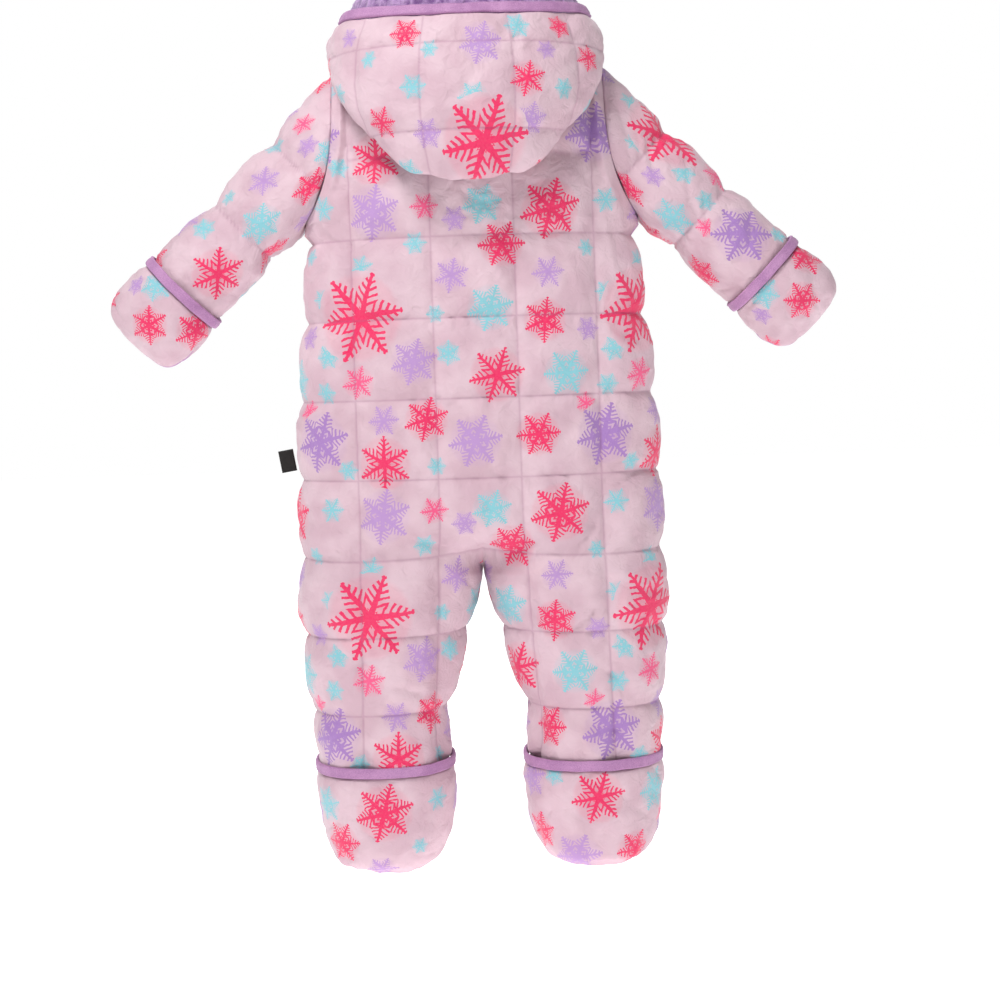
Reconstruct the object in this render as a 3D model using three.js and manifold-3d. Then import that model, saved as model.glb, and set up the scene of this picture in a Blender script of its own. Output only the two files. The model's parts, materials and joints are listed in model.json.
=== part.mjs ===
// Baby snowsuit, filled out as if worn, seen best from behind: quilted shell with a hood that hangs
// down the back, fold-over mitts and foot covers. Millimetres, +Z up. The front faces -Y and the
// wearer's left is +X. The origin is where the wearer's shoulders hold it, at the base of the neck.
import * as THREE from 'three';
import { mergeVertices } from 'three/addons/utils/BufferGeometryUtils.js';
import Module from 'manifold-3d';

const wasm = await Module();
wasm.setup();

// ---------------------------------------------------------------- driving dimensions
const WALL = 3;                 // padded cloth wall
const SEAM = 0.3;               // gap between pieces at a seam
const PUFF = 4;                 // how far a quilting line sinks below the crest of its pillows
const ROW_PITCH = 66.8;         // quilting rows down the body
const FIRST_ROW = -91;          // height of the first quilting line below the neck
const HALF_COLUMNS = 6;         // strips from the middle to a side seam
const ROUNDNESS = 2.3;          // exponent of the body's rounded sections, 2 being an ellipse

const NECK = { halfWidth: 62, backReach: 52, frontReach: 50, side: 4, backDrop: 12, frontDrop: 22 };
const SHOULDER = { tip: 114, drop: 16 };
const CHEST = { z: -145, halfWidth: 142, depth: 66 };
const ARMHOLE_STEPS = [0, 0.06, 0.16, 0.3, 0.45, 0.606, 0.8, 1];   // shares of the way from shoulder to chest
const SEAT_Z = -372;            // where the seat starts to part into legs
const CROTCH_Z = FIRST_ROW - 5.25 * ROW_PITCH;
const ANKLE_Z = -606;           // where the foot cover's mouth lies round the leg
const LEG_END_Z = -621;         // the leg's end, inside the foot cover

// Half width of the body or outer side of the leg, inner side of the leg, and half depth, by height.
const OUTER = [[-145, 142], [-220, 149], [-290, 156], [-360, 159], [-425, 160], [-480, 161],
  [-530, 157], [-570, 155], [-600, 148], [-608, 145.5], [-621, 143]];
const INNER = [[CROTCH_Z, 0], [-475, 6], [-500, 12.5], [-530, 22], [-568, 31], [-600, 35],
  [-608, 38], [-621, 40]];
const DEPTH = [[-145, 66], [-220, 67], [-290, 69], [-360, 71], [-425, 70], [-480, 66],
  [-530, 60], [-570, 57], [-600, 52.5], [-608, 50], [-621, 48.5]];

// Sleeves run straight out and down from the armhole.
const SLEEVE = { slope: THREE.MathUtils.degToRad(44), offset: 33, rows: [170, 241], wrist: 306, end: 325 };
const WRIST = { halfWidth: 37.5, depth: 32 };
const SLEEVE_END = { halfWidth: 34, depth: 28.5 };
const SLEEVE_SHARES = [0, 0.13, 0.27, 0.41, 0.54, 0.66, 0.77, 0.88, 1];

// Mitt and foot cover: [distance along, half width, half depth, shift of the middle in y].
const MITT = [[318.8, 40.3, 35, 0], [330, 41, 34.5, 0], [345, 41, 31, 0], [358, 39.5, 25, 0],
  [368, 35, 17, 0], [374.5, 27, 10, 0], [378, 15, 5.5, 0]];
const MITT_TIP = 379;
const FOOT = [[-611.3, 61, 57, 0], [-624, 61.5, 61, -4], [-642, 60.5, 66, -9], [-662, 57.5, 68, -12],
  [-680, 52, 65, -12], [-692, 44, 57, -11], [-699.5, 32, 43, -10]];
const SOLE_Z = -703;
const FOOT_X = 91;

// Bindings: a folded tape round each mouth.
const TAPE = { width: 9, thickness: 5 };

// Hood, by angle round the neck from the middle of the back: the run of the cloth from the neck seam
// up over its fold, down the back, round the bottom and up to the bound edge, as [radius, height].
const HOOD_ANGLES = [0, 30, 60, 90, 120, 150, 176];
const HOOD_RUNS = [
  [[64, 34], [79, -8], [77, -66], [88, -113], [107, -68], [105, -18], [93, 15]],
  [[69, 35], [85, -6], [84, -62], [94, -106], [113, -62], [111, -16], [99, 16]],
  [[77, 37], [96, -4], [99, -32], [106, -59], [119, -38], [118, -8], [108, 20]],
  [[80, 38], [93, 14], [98, 3], [105, -2], [113, 3], [115, 13], [106, 25]],
  [[67, 42], [73, 40], [78, 33], [83, 27], [91, 27], [95, 34], [91, 42]],
  [[57, 26], [62, 36], [65, 39], [69, 41], [72, 44], [73, 48], [72, 52]],
  [[53, 10], [56, 22], [58, 30], [60, 37], [61, 43], [62, 48], [62, 53]],
];
const HOOD_STEPS = 34;
const HOOD_RUN_STEPS = 14;
const FUR = 8;                  // reach of the lining's pile
const HOOD_WALL = 2.5;
const BACKING = HOOD_WALL + 0.8; // where the lining's backing lies, in from the hood's outer face
const FOLD_PLACE = 1.3;         // place along the run's control points where the fold's full pile ends
const FOLD_END = 2.2;           // and where it has come down to the pouch's
const PILE_IN_POUCH = [[0, 0.3], [35, 0.3], [52, 0.13], [165, 0.13], [176, 0.3]];

// Front zip.
const ZIP = { top: -30, bottom: FIRST_ROW - 4.5 * ROW_PITCH, slot: 4, tapeHalf: 11, tape: 0.8, behind: 1.5 };
const SLIDER = { z: -33, halfWidth: 3.4, height: 9, body: 3.2 };
const PULL = { width: 7, length: 22, thickness: 1.2, eye: 1.2, slotHalf: 1.7, slotHeight: 6 };

const LABEL = { z: -341, width: 13, height: 19, thickness: 1.6, tilt: THREE.MathUtils.degToRad(9) };

// ---------------------------------------------------------------- materials
const cloth = (colour) => new THREE.MeshStandardMaterial({ color: colour, roughness: 0.75, metalness: 0 });
const PRINTED = cloth(0xe6cbd6);
const MAUVE = cloth(0xb486af);
const SHERPA = cloth(0xaa78b9);
const TAPE_CLOTH = cloth(0xc9a3c4);
const LABEL_CLOTH = cloth(0x14120f);
const PLASTIC = new THREE.MeshStandardMaterial({ color: 0xa97fae, roughness: 0.4, metalness: 0 });

// ---------------------------------------------------------------- small helpers
const clamp01 = (t) => Math.min(1, Math.max(0, t));

/** Value of a smooth curve through [place, value] pairs, in either order of place. */
function along(keys, place) {
  const list = keys[0][0] < keys[keys.length - 1][0] ? keys : [...keys].reverse();
  const last = list.length - 1;
  if (place <= list[0][0]) return list[0][1];
  if (place >= list[last][0]) return list[last][1];
  let i = 0;
  while (place > list[i + 1][0]) i += 1;
  const slope = (a, b) => (list[b][1] - list[a][1]) / (list[b][0] - list[a][0]);
  const tangent = (k) => (k === 0 ? slope(0, 1) : k === last ? slope(last - 1, last) : slope(k - 1, k + 1));
  const span = list[i + 1][0] - list[i][0];
  const t = (place - list[i][0]) / span;
  return list[i][1] * (1 + 2 * t) * (1 - t) ** 2 + tangent(i) * span * t * (1 - t) ** 2
    + list[i + 1][1] * t * t * (3 - 2 * t) + tangent(i + 1) * span * t * t * (t - 1);
}

/** How far the shell sinks towards a quilting line: 0 at a pillow's crest, -PUFF on the line. */
const sink = (place, line, pitch) => PUFF * (Math.abs(Math.sin((Math.PI * (place - line)) / pitch)) ** 0.7 - 1);

/** Share of the depth left at share g of the half width, on a rounded section. */
const rounded = (g) => (1 - Math.min(1, Math.abs(g)) ** ROUNDNESS) ** (1 / ROUNDNESS);

/** A surface from rows of points. Each row closes on itself if `ring`; `pole` closes the far end. */
function gridSurface(rows, { ring = false, pole = null } = {}) {
  const count = rows[0].length;
  const points = rows.flat();
  const faces = [];
  const spans = ring ? count : count - 1;
  for (let r = 0; r + 1 < rows.length; r += 1) {
    for (let c = 0; c < spans; c += 1) {
      const a = r * count + c;
      const b = r * count + ((c + 1) % count);
      faces.push([a, a + count, b + count], [a, b + count, b]);
    }
  }
  if (pole) {
    const first = (rows.length - 1) * count;
    for (let c = 0; c < count; c += 1) faces.push([first + c, points.length, first + ((c + 1) % count)]);
    points.push(pole);
  }
  return { points, faces };
}

const flipped = ({ points, faces }) => ({ points, faces: faces.map(([a, b, c]) => [a, c, b]) });

/** Unit normals at each point, from the faces round it. */
function pointNormals({ points, faces }) {
  const normals = points.map(() => new THREE.Vector3());
  for (const [a, b, c] of faces) {
    const face = new THREE.Vector3().crossVectors(
      points[b].clone().sub(points[a]), points[c].clone().sub(points[a]));
    for (const i of [a, b, c]) normals[i].add(face);
  }
  return normals.map((n) => n.normalize());
}

/** A closed solid between a surface and its matching inner points, with a rim along every open edge. */
function between({ points, faces }, inner) {
  const count = points.length;
  const index = faces.flat();
  for (const [a, b, c] of faces) index.push(a + count, c + count, b + count);
  const edges = new Set(faces.flatMap(([a, b, c]) => [`${a}_${b}`, `${b}_${c}`, `${c}_${a}`]));
  for (const edge of edges) {
    const [a, b] = edge.split('_').map(Number);
    if (!edges.has(`${b}_${a}`)) index.push(b, a, a + count, b, a + count, b + count);
  }
  const geometry = new THREE.BufferGeometry();
  const flat = [...points, ...inner].flatMap((p) => [p.x, p.y, p.z]);
  geometry.setAttribute('position', new THREE.Float32BufferAttribute(flat, 3));
  geometry.setIndex(index);
  geometry.computeVertexNormals();
  return geometry;
}

/** A cloth wall: the surface moved in along its normals. `steer` bends the way in at seams. */
function wall(surface, thickness = WALL, steer = (point, way) => way) {
  const normals = pointNormals(surface);
  const inner = surface.points.map((p, i) => {
    const way = steer(p, normals[i].clone().negate());
    return p.clone().addScaledVector(way.normalize(), thickness);
  });
  return between(surface, inner);
}

const group = new THREE.Group();

function add(name, geometry, material, parent = group) {
  const mesh = new THREE.Mesh(geometry, material);
  mesh.name = name;
  parent.add(mesh);
  return mesh;
}

// ---------------------------------------------------------------- body: back and two fronts
const neckDrop = (face) => (face > 0 ? NECK.backDrop : NECK.frontDrop);
const neckReach = (face) => (face > 0 ? NECK.backReach : NECK.frontReach);
const depthRise = (t) => (1 - (1 - t) ** 3) ** 0.75;

/** Height of the shoulder seam, or of the neck seam where x is inside the neck. */
function topHeight(x, face) {
  const share = Math.abs(x) / NECK.halfWidth;
  if (share < 1) return NECK.side - neckDrop(face) * (1 - share * share);
  return NECK.side - (SHOULDER.drop * (Math.abs(x) - NECK.halfWidth)) / (SHOULDER.tip - NECK.halfWidth);
}

const armholeX = (t) => SHOULDER.tip + (CHEST.halfWidth - SHOULDER.tip) * t ** 4;

/** Half depth of the yoke at x, a share t of the way down from the seam to the chest. */
function yokeDepth(x, t, face) {
  const share = Math.abs(x) / NECK.halfWidth;
  const start = share < 1 ? neckReach(face) * Math.sqrt(1 - share * share) : 0;
  const full = CHEST.depth * rounded(x / CHEST.halfWidth);
  return start + (full - start) * depthRise(t);
}

/** Point of the yoke: s runs -1 to 1 across, t 0 to 1 down; face is 1 on the back, -1 on the front. */
function yokePoint(s, t, face) {
  const x = armholeX(t) * Math.sin((Math.PI * s) / 2);
  const top = topHeight(x, face);
  const z = top + (CHEST.z - top) * t;
  return new THREE.Vector3(x, face * (SEAM / 2 + yokeDepth(x, t, face)), z);
}

/** Point of the trunk or leg at height z: the torso's section turning into two legs' sections. */
function trunkPoint(s, z, face, halfGap = 0) {
  const side = s < 0 ? -1 : 1;
  const q = Math.abs(s);
  const dip = z > CHEST.z ? 0 : sink(z, FIRST_ROW, ROW_PITCH) * clamp01((CHEST.z - z) / 20)
    * clamp01((z - ANKLE_Z) / 8);
  const outer = along(OUTER, z) + dip;
  const depth = along(DEPTH, z) + dip;
  const g = Math.sin((Math.PI * q) / 2);
  const part = clamp01((SEAT_Z - z) / (SEAT_Z - CROTCH_Z)) ** 3;
  const inner = along(INNER, z);
  const middle = (outer + inner) / 2;
  const c = Math.cos(Math.PI * q);
  const x = (1 - part) * outer * g + part * (middle - (outer - middle) * c);
  const y = (1 - part) * depth * rounded(g) + part * depth * rounded(c);
  return new THREE.Vector3(side * Math.max(x, halfGap), face * (SEAM / 2 + y), z);
}

/** Heights of the rows below the chest: each quilting line and three rows in each pillow. */
function trunkHeights() {
  const heights = [];
  for (let quarter = 4; ; quarter += 1) {
    const z = FIRST_ROW - (quarter * ROW_PITCH) / 4;
    if (z < ANKLE_Z + 6) break;
    heights.push(z);
  }
  return [...heights, ANKLE_Z, (ANKLE_Z + LEG_END_Z) / 2, LEG_END_Z];
}

/** Rows of points down one half or the whole of a face, split in two below the crotch. */
function panel(face, from, to, halfGap) {
  const shares = [];
  for (let k = from; k <= to; k += 1) shares.push(k / HALF_COLUMNS);
  const points = [];
  const faces = [];
  const addRow = (list) => list.map((p) => points.push(p) - 1);
  const join = (upper, lower) => {
    for (let c = 0; c + 1 < upper.length; c += 1) {
      faces.push([upper[c], lower[c + 1], lower[c]], [upper[c], upper[c + 1], lower[c + 1]]);
    }
  };
  let rows = null;                       // one run across, or one for each leg
  const next = (runs) => {
    if (rows) {
      const split = rows.length < runs.length;
      const middle = (rows[0].length - 1) / 2;
      const above = split ? [rows[0].slice(0, middle + 1), rows[0].slice(middle)] : rows;
      above.forEach((upper, i) => join(upper, runs[i]));
    }
    rows = runs;
  };
  for (const t of ARMHOLE_STEPS) {
    next([addRow(shares.map((s) => {
      const p = yokePoint(s, t, face);
      if (halfGap && Math.abs(p.x) < halfGap) p.x = Math.sign(from + to) * halfGap;
      return p;
    }))]);
  }
  for (const z of trunkHeights()) {
    const gap = halfGap && z < ZIP.bottom - 1 ? SEAM / 2 : halfGap;
    const whole = from < 0 && to > 0;
    if (!whole || z > CROTCH_Z - 1) {
      next([addRow(shares.map((s) => {
        const p = trunkPoint(s, z, face, gap);
        if (halfGap && s === 0) p.x = Math.sign(from + to) * Math.abs(p.x);
        return p;
      }))]);
    } else {
      const legs = [-1, 1].map((side) => shares.filter((s) => s * side >= 0)
        .map((s) => trunkPoint(s === 0 ? side * 1e-9 : s, z, face, 0)));
      next(legs.map(addRow));
    }
  }
  const surface = { points, faces };
  return face > 0 ? surface : flipped(surface);
}

const ARM_CENTRE = new THREE.Vector3(122, 0, -78);

/** The way in from a panel's points: straight across at seams, towards the arm at the armhole. */
function panelSteer(point, way) {
  const z = point.z;
  const x = Math.abs(point.x);
  const onSeam = Math.abs(point.y) < 0.5;
  if (z > CHEST.z - 1) {
    const top = topHeight(Math.sign(point.x) * Math.min(x, SHOULDER.tip), point.y);
    const share = (z - top) / (CHEST.z - top);
    if (Math.abs(x - armholeX(clamp01(share))) < 0.6) {
      return new THREE.Vector3(Math.sign(point.x) * ARM_CENTRE.x - point.x, -point.y, ARM_CENTRE.z - z);
    }
  }
  if (Math.abs(z - CROTCH_Z) < 1 && x < 1) return new THREE.Vector3(0, 0, 1);
  if (onSeam) way.y = 0;
  if (point.y < 0 && x <= ZIP.slot + 0.01 && z > CROTCH_Z) way.x = 0;
  return way;
}

add('back_panel', wall(panel(1, -HALF_COLUMNS, HALF_COLUMNS, 0), WALL, panelSteer), PRINTED);
add('front_left', wall(panel(-1, 0, HALF_COLUMNS, ZIP.slot), WALL, panelSteer), PRINTED);
add('front_right', wall(panel(-1, -HALF_COLUMNS, 0, ZIP.slot), WALL, panelSteer), PRINTED);

// ---------------------------------------------------------------- sleeves and mitts
const ALONG = new THREE.Vector3(Math.cos(SLEEVE.slope), 0, -Math.sin(SLEEVE.slope));
const ACROSS = new THREE.Vector3(Math.sin(SLEEVE.slope), 0, Math.cos(SLEEVE.slope));
const SLEEVE_TURN = [
  ...ARMHOLE_STEPS.map((t) => Math.acos(1 - 2 * t)),
  ...ARMHOLE_STEPS.slice(1, -1).reverse().map((t) => 2 * Math.PI - Math.acos(1 - 2 * t)),
];

/** Point of a ring square to the sleeve, at a distance along it and an angle from its top. */
function sleeveRing(distance, halfWidth, depth, angle) {
  return ALONG.clone().multiplyScalar(distance)
    .addScaledVector(ACROSS, SLEEVE.offset + halfWidth * Math.cos(angle))
    .add(new THREE.Vector3(0, depth * Math.sin(angle), 0));
}

/** Point of the armhole edge at an angle from its top, the seam's gap out from the body. */
function armholePoint(angle) {
  const t = (1 - Math.cos(angle)) / 2;
  const face = angle < Math.PI ? 1 : -1;
  const x = armholeX(t);
  const top = topHeight(x, face);
  const y = t < 1e-6 || t > 1 - 1e-6 ? 0 : face * (SEAM / 2 + yokeDepth(x, t, face));
  return new THREE.Vector3(x + SEAM * 1.3, y, top + (CHEST.z - top) * t - SEAM * 0.4);
}

const mirrorX = (side) => (p) => new THREE.Vector3(side * p.x, p.y, p.z);
const turned = (surface, side) => (side > 0 ? surface : flipped(surface));

function sleeveRows() {
  const rows = SLEEVE_SHARES.map((share) => SLEEVE_TURN.map((angle) => {
    const start = armholePoint(angle);
    const finish = sleeveRing(SLEEVE.wrist, WRIST.halfWidth, WRIST.depth, angle);
    const p = start.lerp(finish, share);
    const distance = p.dot(ALONG);
    const dip = share === 0 ? 0 : sink(distance, SLEEVE.rows[0], SLEEVE.rows[1] - SLEEVE.rows[0]) * 0.8;
    const centre = ALONG.clone().multiplyScalar(distance).addScaledVector(ACROSS, SLEEVE.offset);
    const out = p.clone().sub(centre).normalize();
    return p.addScaledVector(out, dip);
  }));
  for (const share of [0.4, 1]) {
    const distance = SLEEVE.wrist + (SLEEVE.end - SLEEVE.wrist) * share;
    const halfWidth = share < 1 ? SLEEVE_END.halfWidth + 1 : SLEEVE_END.halfWidth;
    const depth = share < 1 ? SLEEVE_END.depth + 1 : SLEEVE_END.depth;
    rows.push(SLEEVE_TURN.map((angle) => sleeveRing(distance, halfWidth, depth, angle)));
  }
  return rows;
}

/** A tape round a mouth: a rounded band between two rings of points with the outward way at each. */
function band(centres, outs, acrosses, width, thickness, closed) {
  const profile = [[-0.5, 0.1], [-0.36, 0.5], [0.36, 0.5], [0.5, 0.1], [0.5, -0.5], [-0.5, -0.5]];
  const rows = profile.map(([w, h]) => centres.map((c, i) => c.clone()
    .addScaledVector(acrosses[i], w * width).addScaledVector(outs[i], h * thickness)));
  const surface = gridSurface([...rows, rows[0]], { ring: closed });
  const count = centres.length;
  const last = rows.length * count;
  const merged = surface.faces.map((face) => face.map((i) => (i >= last ? i - last : i)));
  const faces = [...merged];
  if (!closed) {
    for (const end of [0, count - 1]) {
      for (let k = 1; k + 1 < rows.length; k += 1) {
        const fan = [end, k * count + end, (k + 1) * count + end];
        faces.push(end === 0 ? [fan[0], fan[2], fan[1]] : fan);
      }
    }
  }
  const geometry = new THREE.BufferGeometry();
  const flat = surface.points.slice(0, last).flatMap((p) => [p.x, p.y, p.z]);
  geometry.setAttribute('position', new THREE.Float32BufferAttribute(flat, 3));
  geometry.setIndex(faces.flat());
  geometry.computeVertexNormals();
  return geometry;
}

/** The same geometry with its faces turned round. */
function turnedOver(geometry) {
  const copy = geometry.clone();
  const index = copy.getIndex();
  for (let i = 0; i < index.count; i += 3) {
    const keep = index.getX(i);
    index.setX(i, index.getX(i + 1));
    index.setX(i + 1, keep);
  }
  copy.computeVertexNormals();
  return copy;
}

const mirrored = (geometry) => turnedOver(geometry.clone().scale(-1, 1, 1));

const armSteer = (point, way) => {
  const x = Math.abs(point.x);
  const start = armholePoint(Math.acos(THREE.MathUtils.clamp(1 - 2 * armShare(point), -1, 1)));
  if (x - start.x < 0.7) {
    return new THREE.Vector3(Math.sign(point.x) * ARM_CENTRE.x - point.x, -point.y, ARM_CENTRE.z - point.z);
  }
  return way;
};

/** Share of the way down the armhole at a point's height. */
function armShare(point) {
  const top = topHeight(SHOULDER.tip, 1);
  return clamp01((point.z + SEAM * 0.4 - top) / (CHEST.z - top));
}

const mittCentre = (distance) => ALONG.clone().multiplyScalar(distance).addScaledVector(ACROSS, SLEEVE.offset);

for (const [side, name] of [[1, 'left'], [-1, 'right']]) {
  const mirror = mirrorX(side);
  const sleeve = gridSurface(sleeveRows().map((row) => row.map(mirror)), { ring: true });
  add(`sleeve_${name}`, wall(turned(sleeve, side), WALL, armSteer), PRINTED);
  const mittRows = MITT.map(([distance, halfWidth, depth]) => SLEEVE_TURN
    .map((angle) => mirror(sleeveRing(distance, halfWidth, depth, angle))));
  const mitt = gridSurface(mittRows, { ring: true, pole: mirror(mittCentre(MITT_TIP)) });
  add(`mitt_${name}`, wall(turned(mitt, side), WALL * 0.8), PRINTED);
  const [mouth, halfWidth, depth] = MITT[0];
  const middle = mouth - SEAM - TAPE.width / 2;
  const centres = SLEEVE_TURN.map((a) => sleeveRing(middle, halfWidth - 1.2, depth - 1.2, a));
  const outs = SLEEVE_TURN.map((a) => ACROSS.clone().multiplyScalar(Math.cos(a) * depth)
    .add(new THREE.Vector3(0, Math.sin(a) * halfWidth, 0)).normalize());
  const tape = band(centres, outs, SLEEVE_TURN.map(() => ALONG), TAPE.width, TAPE.thickness * 0.7, true);
  add(`mitt_binding_${name}`, side > 0 ? tape : mirrored(tape), MAUVE);
}

// ---------------------------------------------------------------- foot covers
const FOOT_TURN = Array.from({ length: 16 }, (_, i) => (i * Math.PI) / 8);

function footRing(z, halfWidth, depth, shift, angle) {
  const c = Math.cos(angle);
  const s = Math.sin(angle);
  const squareness = 1 / (Math.abs(c) ** ROUNDNESS + Math.abs(s) ** ROUNDNESS) ** (1 / ROUNDNESS);
  return new THREE.Vector3(FOOT_X + halfWidth * c * squareness, shift + depth * s * squareness, z);
}

for (const [side, name] of [[1, 'left'], [-1, 'right']]) {
  const mirror = mirrorX(side);
  const rows = FOOT.map(([z, halfWidth, depth, shift]) => FOOT_TURN
    .map((a) => mirror(footRing(z, halfWidth, depth, shift, a))));
  const pole = mirror(new THREE.Vector3(FOOT_X, FOOT[FOOT.length - 1][3], SOLE_Z));
  const foot = gridSurface(rows, { ring: true, pole });
  add(`foot_${name}`, wall(turned(foot, -side)), PRINTED);
  const [mouth, halfWidth, depth] = FOOT[0];
  const middle = mouth + SEAM + TAPE.width / 2;
  const centres = FOOT_TURN.map((a) => footRing(middle, halfWidth - 1.4, depth - 1.4, 0, a));
  const outs = FOOT_TURN.map((a) => new THREE.Vector3(Math.cos(a), Math.sin(a), 0));
  const acrosses = FOOT_TURN.map(() => new THREE.Vector3(0, 0, 1));
  const tape = band(centres, outs, acrosses, TAPE.width, TAPE.thickness * 0.7, true);
  add(`foot_binding_${name}`, side > 0 ? turnedOver(tape) : turnedOver(mirrored(tape)), MAUVE);
}

// ---------------------------------------------------------------- hood, its lining and its binding
/** Smooth curve through evenly numbered points, at place k. */
function through(points, k) {
  const last = points.length - 1;
  const i = Math.min(last - 1, Math.max(0, Math.floor(k)));
  const t = k - i;
  const at = (j) => points[Math.min(last, Math.max(0, j))];
  return at(i).map((_, axis) => {
    const [a, b, c, d] = [at(i - 1)[axis], at(i)[axis], at(i + 1)[axis], at(i + 2)[axis]];
    return b + 0.5 * t * (c - a + t * (2 * a - 5 * b + 4 * c - d + t * (3 * (b - c) + d - a)));
  });
}

/** The neck seam's radius and height at an angle from the middle of the back, a seam's gap above it. */
function neckSeam(angle) {
  const face = Math.cos(angle) > 0 ? 1 : -1;
  const radius = 1 / Math.hypot(Math.sin(angle) / NECK.halfWidth, Math.cos(angle) / neckReach(face));
  return [radius, topHeight(radius * Math.sin(angle), face) + SEAM + 0.6];
}

/** The hood's run of control points at an angle, from the neck seam to the bound edge. */
function hoodRun(angle) {
  const degrees = Math.abs(THREE.MathUtils.radToDeg(angle));
  let k = 0;
  while (k < HOOD_ANGLES.length - 2 && degrees > HOOD_ANGLES[k + 1]) k += 1;
  const place = k + (degrees - HOOD_ANGLES[k]) / (HOOD_ANGLES[k + 1] - HOOD_ANGLES[k]);
  return [neckSeam(angle), ...HOOD_RUNS[0].map((_, j) => through(HOOD_RUNS.map((run) => run[j]), place))];
}

const HOOD_TURN = Array.from({ length: HOOD_STEPS + 1 },
  (_, i) => THREE.MathUtils.degToRad(HOOD_ANGLES[HOOD_ANGLES.length - 1]) * (1 - (2 * i) / HOOD_STEPS));
const polar = (angle, [radius, z]) => new THREE.Vector3(radius * Math.sin(angle), radius * Math.cos(angle), z);

/** Place k along a run in its own plane, and the way towards the lining there. */
function runPoint(run, k) {
  const [r, z] = through(run, k);
  const [r1, z1] = through(run, Math.min(run.length - 1, k + 0.05));
  const [r0, z0] = through(run, Math.max(0, k - 0.05));
  const length = Math.hypot(r1 - r0, z1 - z0);
  return { at: [r, z], way: k === 0 ? [-1, 0] : [-(z1 - z0) / length, (r1 - r0) / length] };
}

const shifted = ({ at, way }, by) => [at[0] + way[0] * by, at[1] + way[1] * by];

/** How far the pile stands off its backing at place k: all of it over the fold, less in the pouch. */
function pileReach(angle, k) {
  const inPouch = along(PILE_IN_POUCH, Math.abs(THREE.MathUtils.radToDeg(angle)));
  const t = clamp01((FOLD_END - k) / (FOLD_END - FOLD_PLACE));
  return FUR * (inPouch + (1 - inPouch) * t * t * (3 - 2 * t));
}

{
  const runs = HOOD_TURN.map((angle) => {
    const run = hoodRun(angle);
    const step = (run.length - 1) / HOOD_RUN_STEPS;
    return Array.from({ length: HOOD_RUN_STEPS + 1 }, (_, j) => ({ k: j * step, ...runPoint(run, j * step) }));
  });
  const outer = gridSurface(runs.map((run, i) => run.map(({ at }) => polar(HOOD_TURN[i], at))));
  const inner = runs.flatMap((run, i) => run.map((p) => polar(HOOD_TURN[i], shifted(p, HOOD_WALL))));
  add('hood_shell', between(outer, inner), PRINTED);
  const backing = runs.flatMap((run, i) => run.map((p) => polar(HOOD_TURN[i], shifted(p, BACKING))));
  const pile = runs.flatMap((run, i) => run
    .map((p) => polar(HOOD_TURN[i], shifted(p, BACKING + pileReach(HOOD_TURN[i], p.k)))));
  add('hood_lining', between({ points: backing, faces: outer.faces }, pile), SHERPA);
  const edges = runs.map((run) => run[run.length - 1]);
  const beyond = TAPE.width / 2 + 2.5 * SEAM;
  const centres = edges.map(({ at, way }, i) => polar(HOOD_TURN[i],
    [at[0] + way[0] * 1.2 + way[1] * beyond, at[1] + way[1] * 1.2 - way[0] * beyond]));
  const outs = edges.map(({ way }, i) => polar(HOOD_TURN[i], [-way[0], -way[1]]));
  const acrosses = edges.map(({ way }, i) => polar(HOOD_TURN[i], [way[1], -way[0]]));
  add('hood_binding', turnedOver(band(centres, outs, acrosses, TAPE.width, TAPE.thickness, false)), MAUVE);
}

// ---------------------------------------------------------------- front zip
const frontY = (z) => {
  if (z < CHEST.z) return trunkPoint(0, z, -1).y;
  const top = topHeight(0, -1);
  return -(SEAM / 2 + yokeDepth(0, (z - top) / (CHEST.z - top), -1));
};

function zipRows() {
  const top = topHeight(0, -1);
  const heights = [ZIP.top, ...ARMHOLE_STEPS.slice(2).map((t) => top + (CHEST.z - top) * t),
    ...trunkHeights().filter((z) => z > ZIP.bottom), ZIP.bottom];
  return heights.map((z) => [-ZIP.tapeHalf, ZIP.tapeHalf]
    .map((x) => new THREE.Vector3(x, frontY(z) + WALL + ZIP.behind, z)));
}
add('zip_tape', wall(gridSurface(zipRows()), ZIP.tape), TAPE_CLOTH);

/** A solid for the boolean tool from a closed three.js geometry. */
function solid(geometry) {
  const bare = geometry.clone();
  bare.deleteAttribute('normal');
  bare.deleteAttribute('uv');
  const merged = mergeVertices(bare, 1e-5);
  return new wasm.Manifold(new wasm.Mesh({
    numProp: 3,
    vertProperties: Float32Array.from(merged.getAttribute('position').array),
    triVerts: Uint32Array.from(merged.getIndex().array),
  }));
}

function geometryOf(manifold) {
  const mesh = manifold.getMesh();
  const geometry = new THREE.BufferGeometry();
  geometry.setAttribute('position', new THREE.Float32BufferAttribute(mesh.vertProperties, 3));
  geometry.setIndex([...mesh.triVerts]);
  geometry.computeVertexNormals();
  return geometry;
}

const box = (w, d, h, x, y, z) => new THREE.BoxGeometry(w, d, h).translate(x, y, z);

/** The slider and its pull lie along the front's slope, in a group at the pull's hinge. */
const slope = Math.atan2(frontY(SLIDER.z - 8) - frontY(SLIDER.z + 8), -16);
const hinge = new THREE.Group();
hinge.position.set(0, frontY(SLIDER.z) - 2.6, SLIDER.z);
hinge.rotation.x = -(slope - Math.PI);
group.add(hinge);

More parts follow.
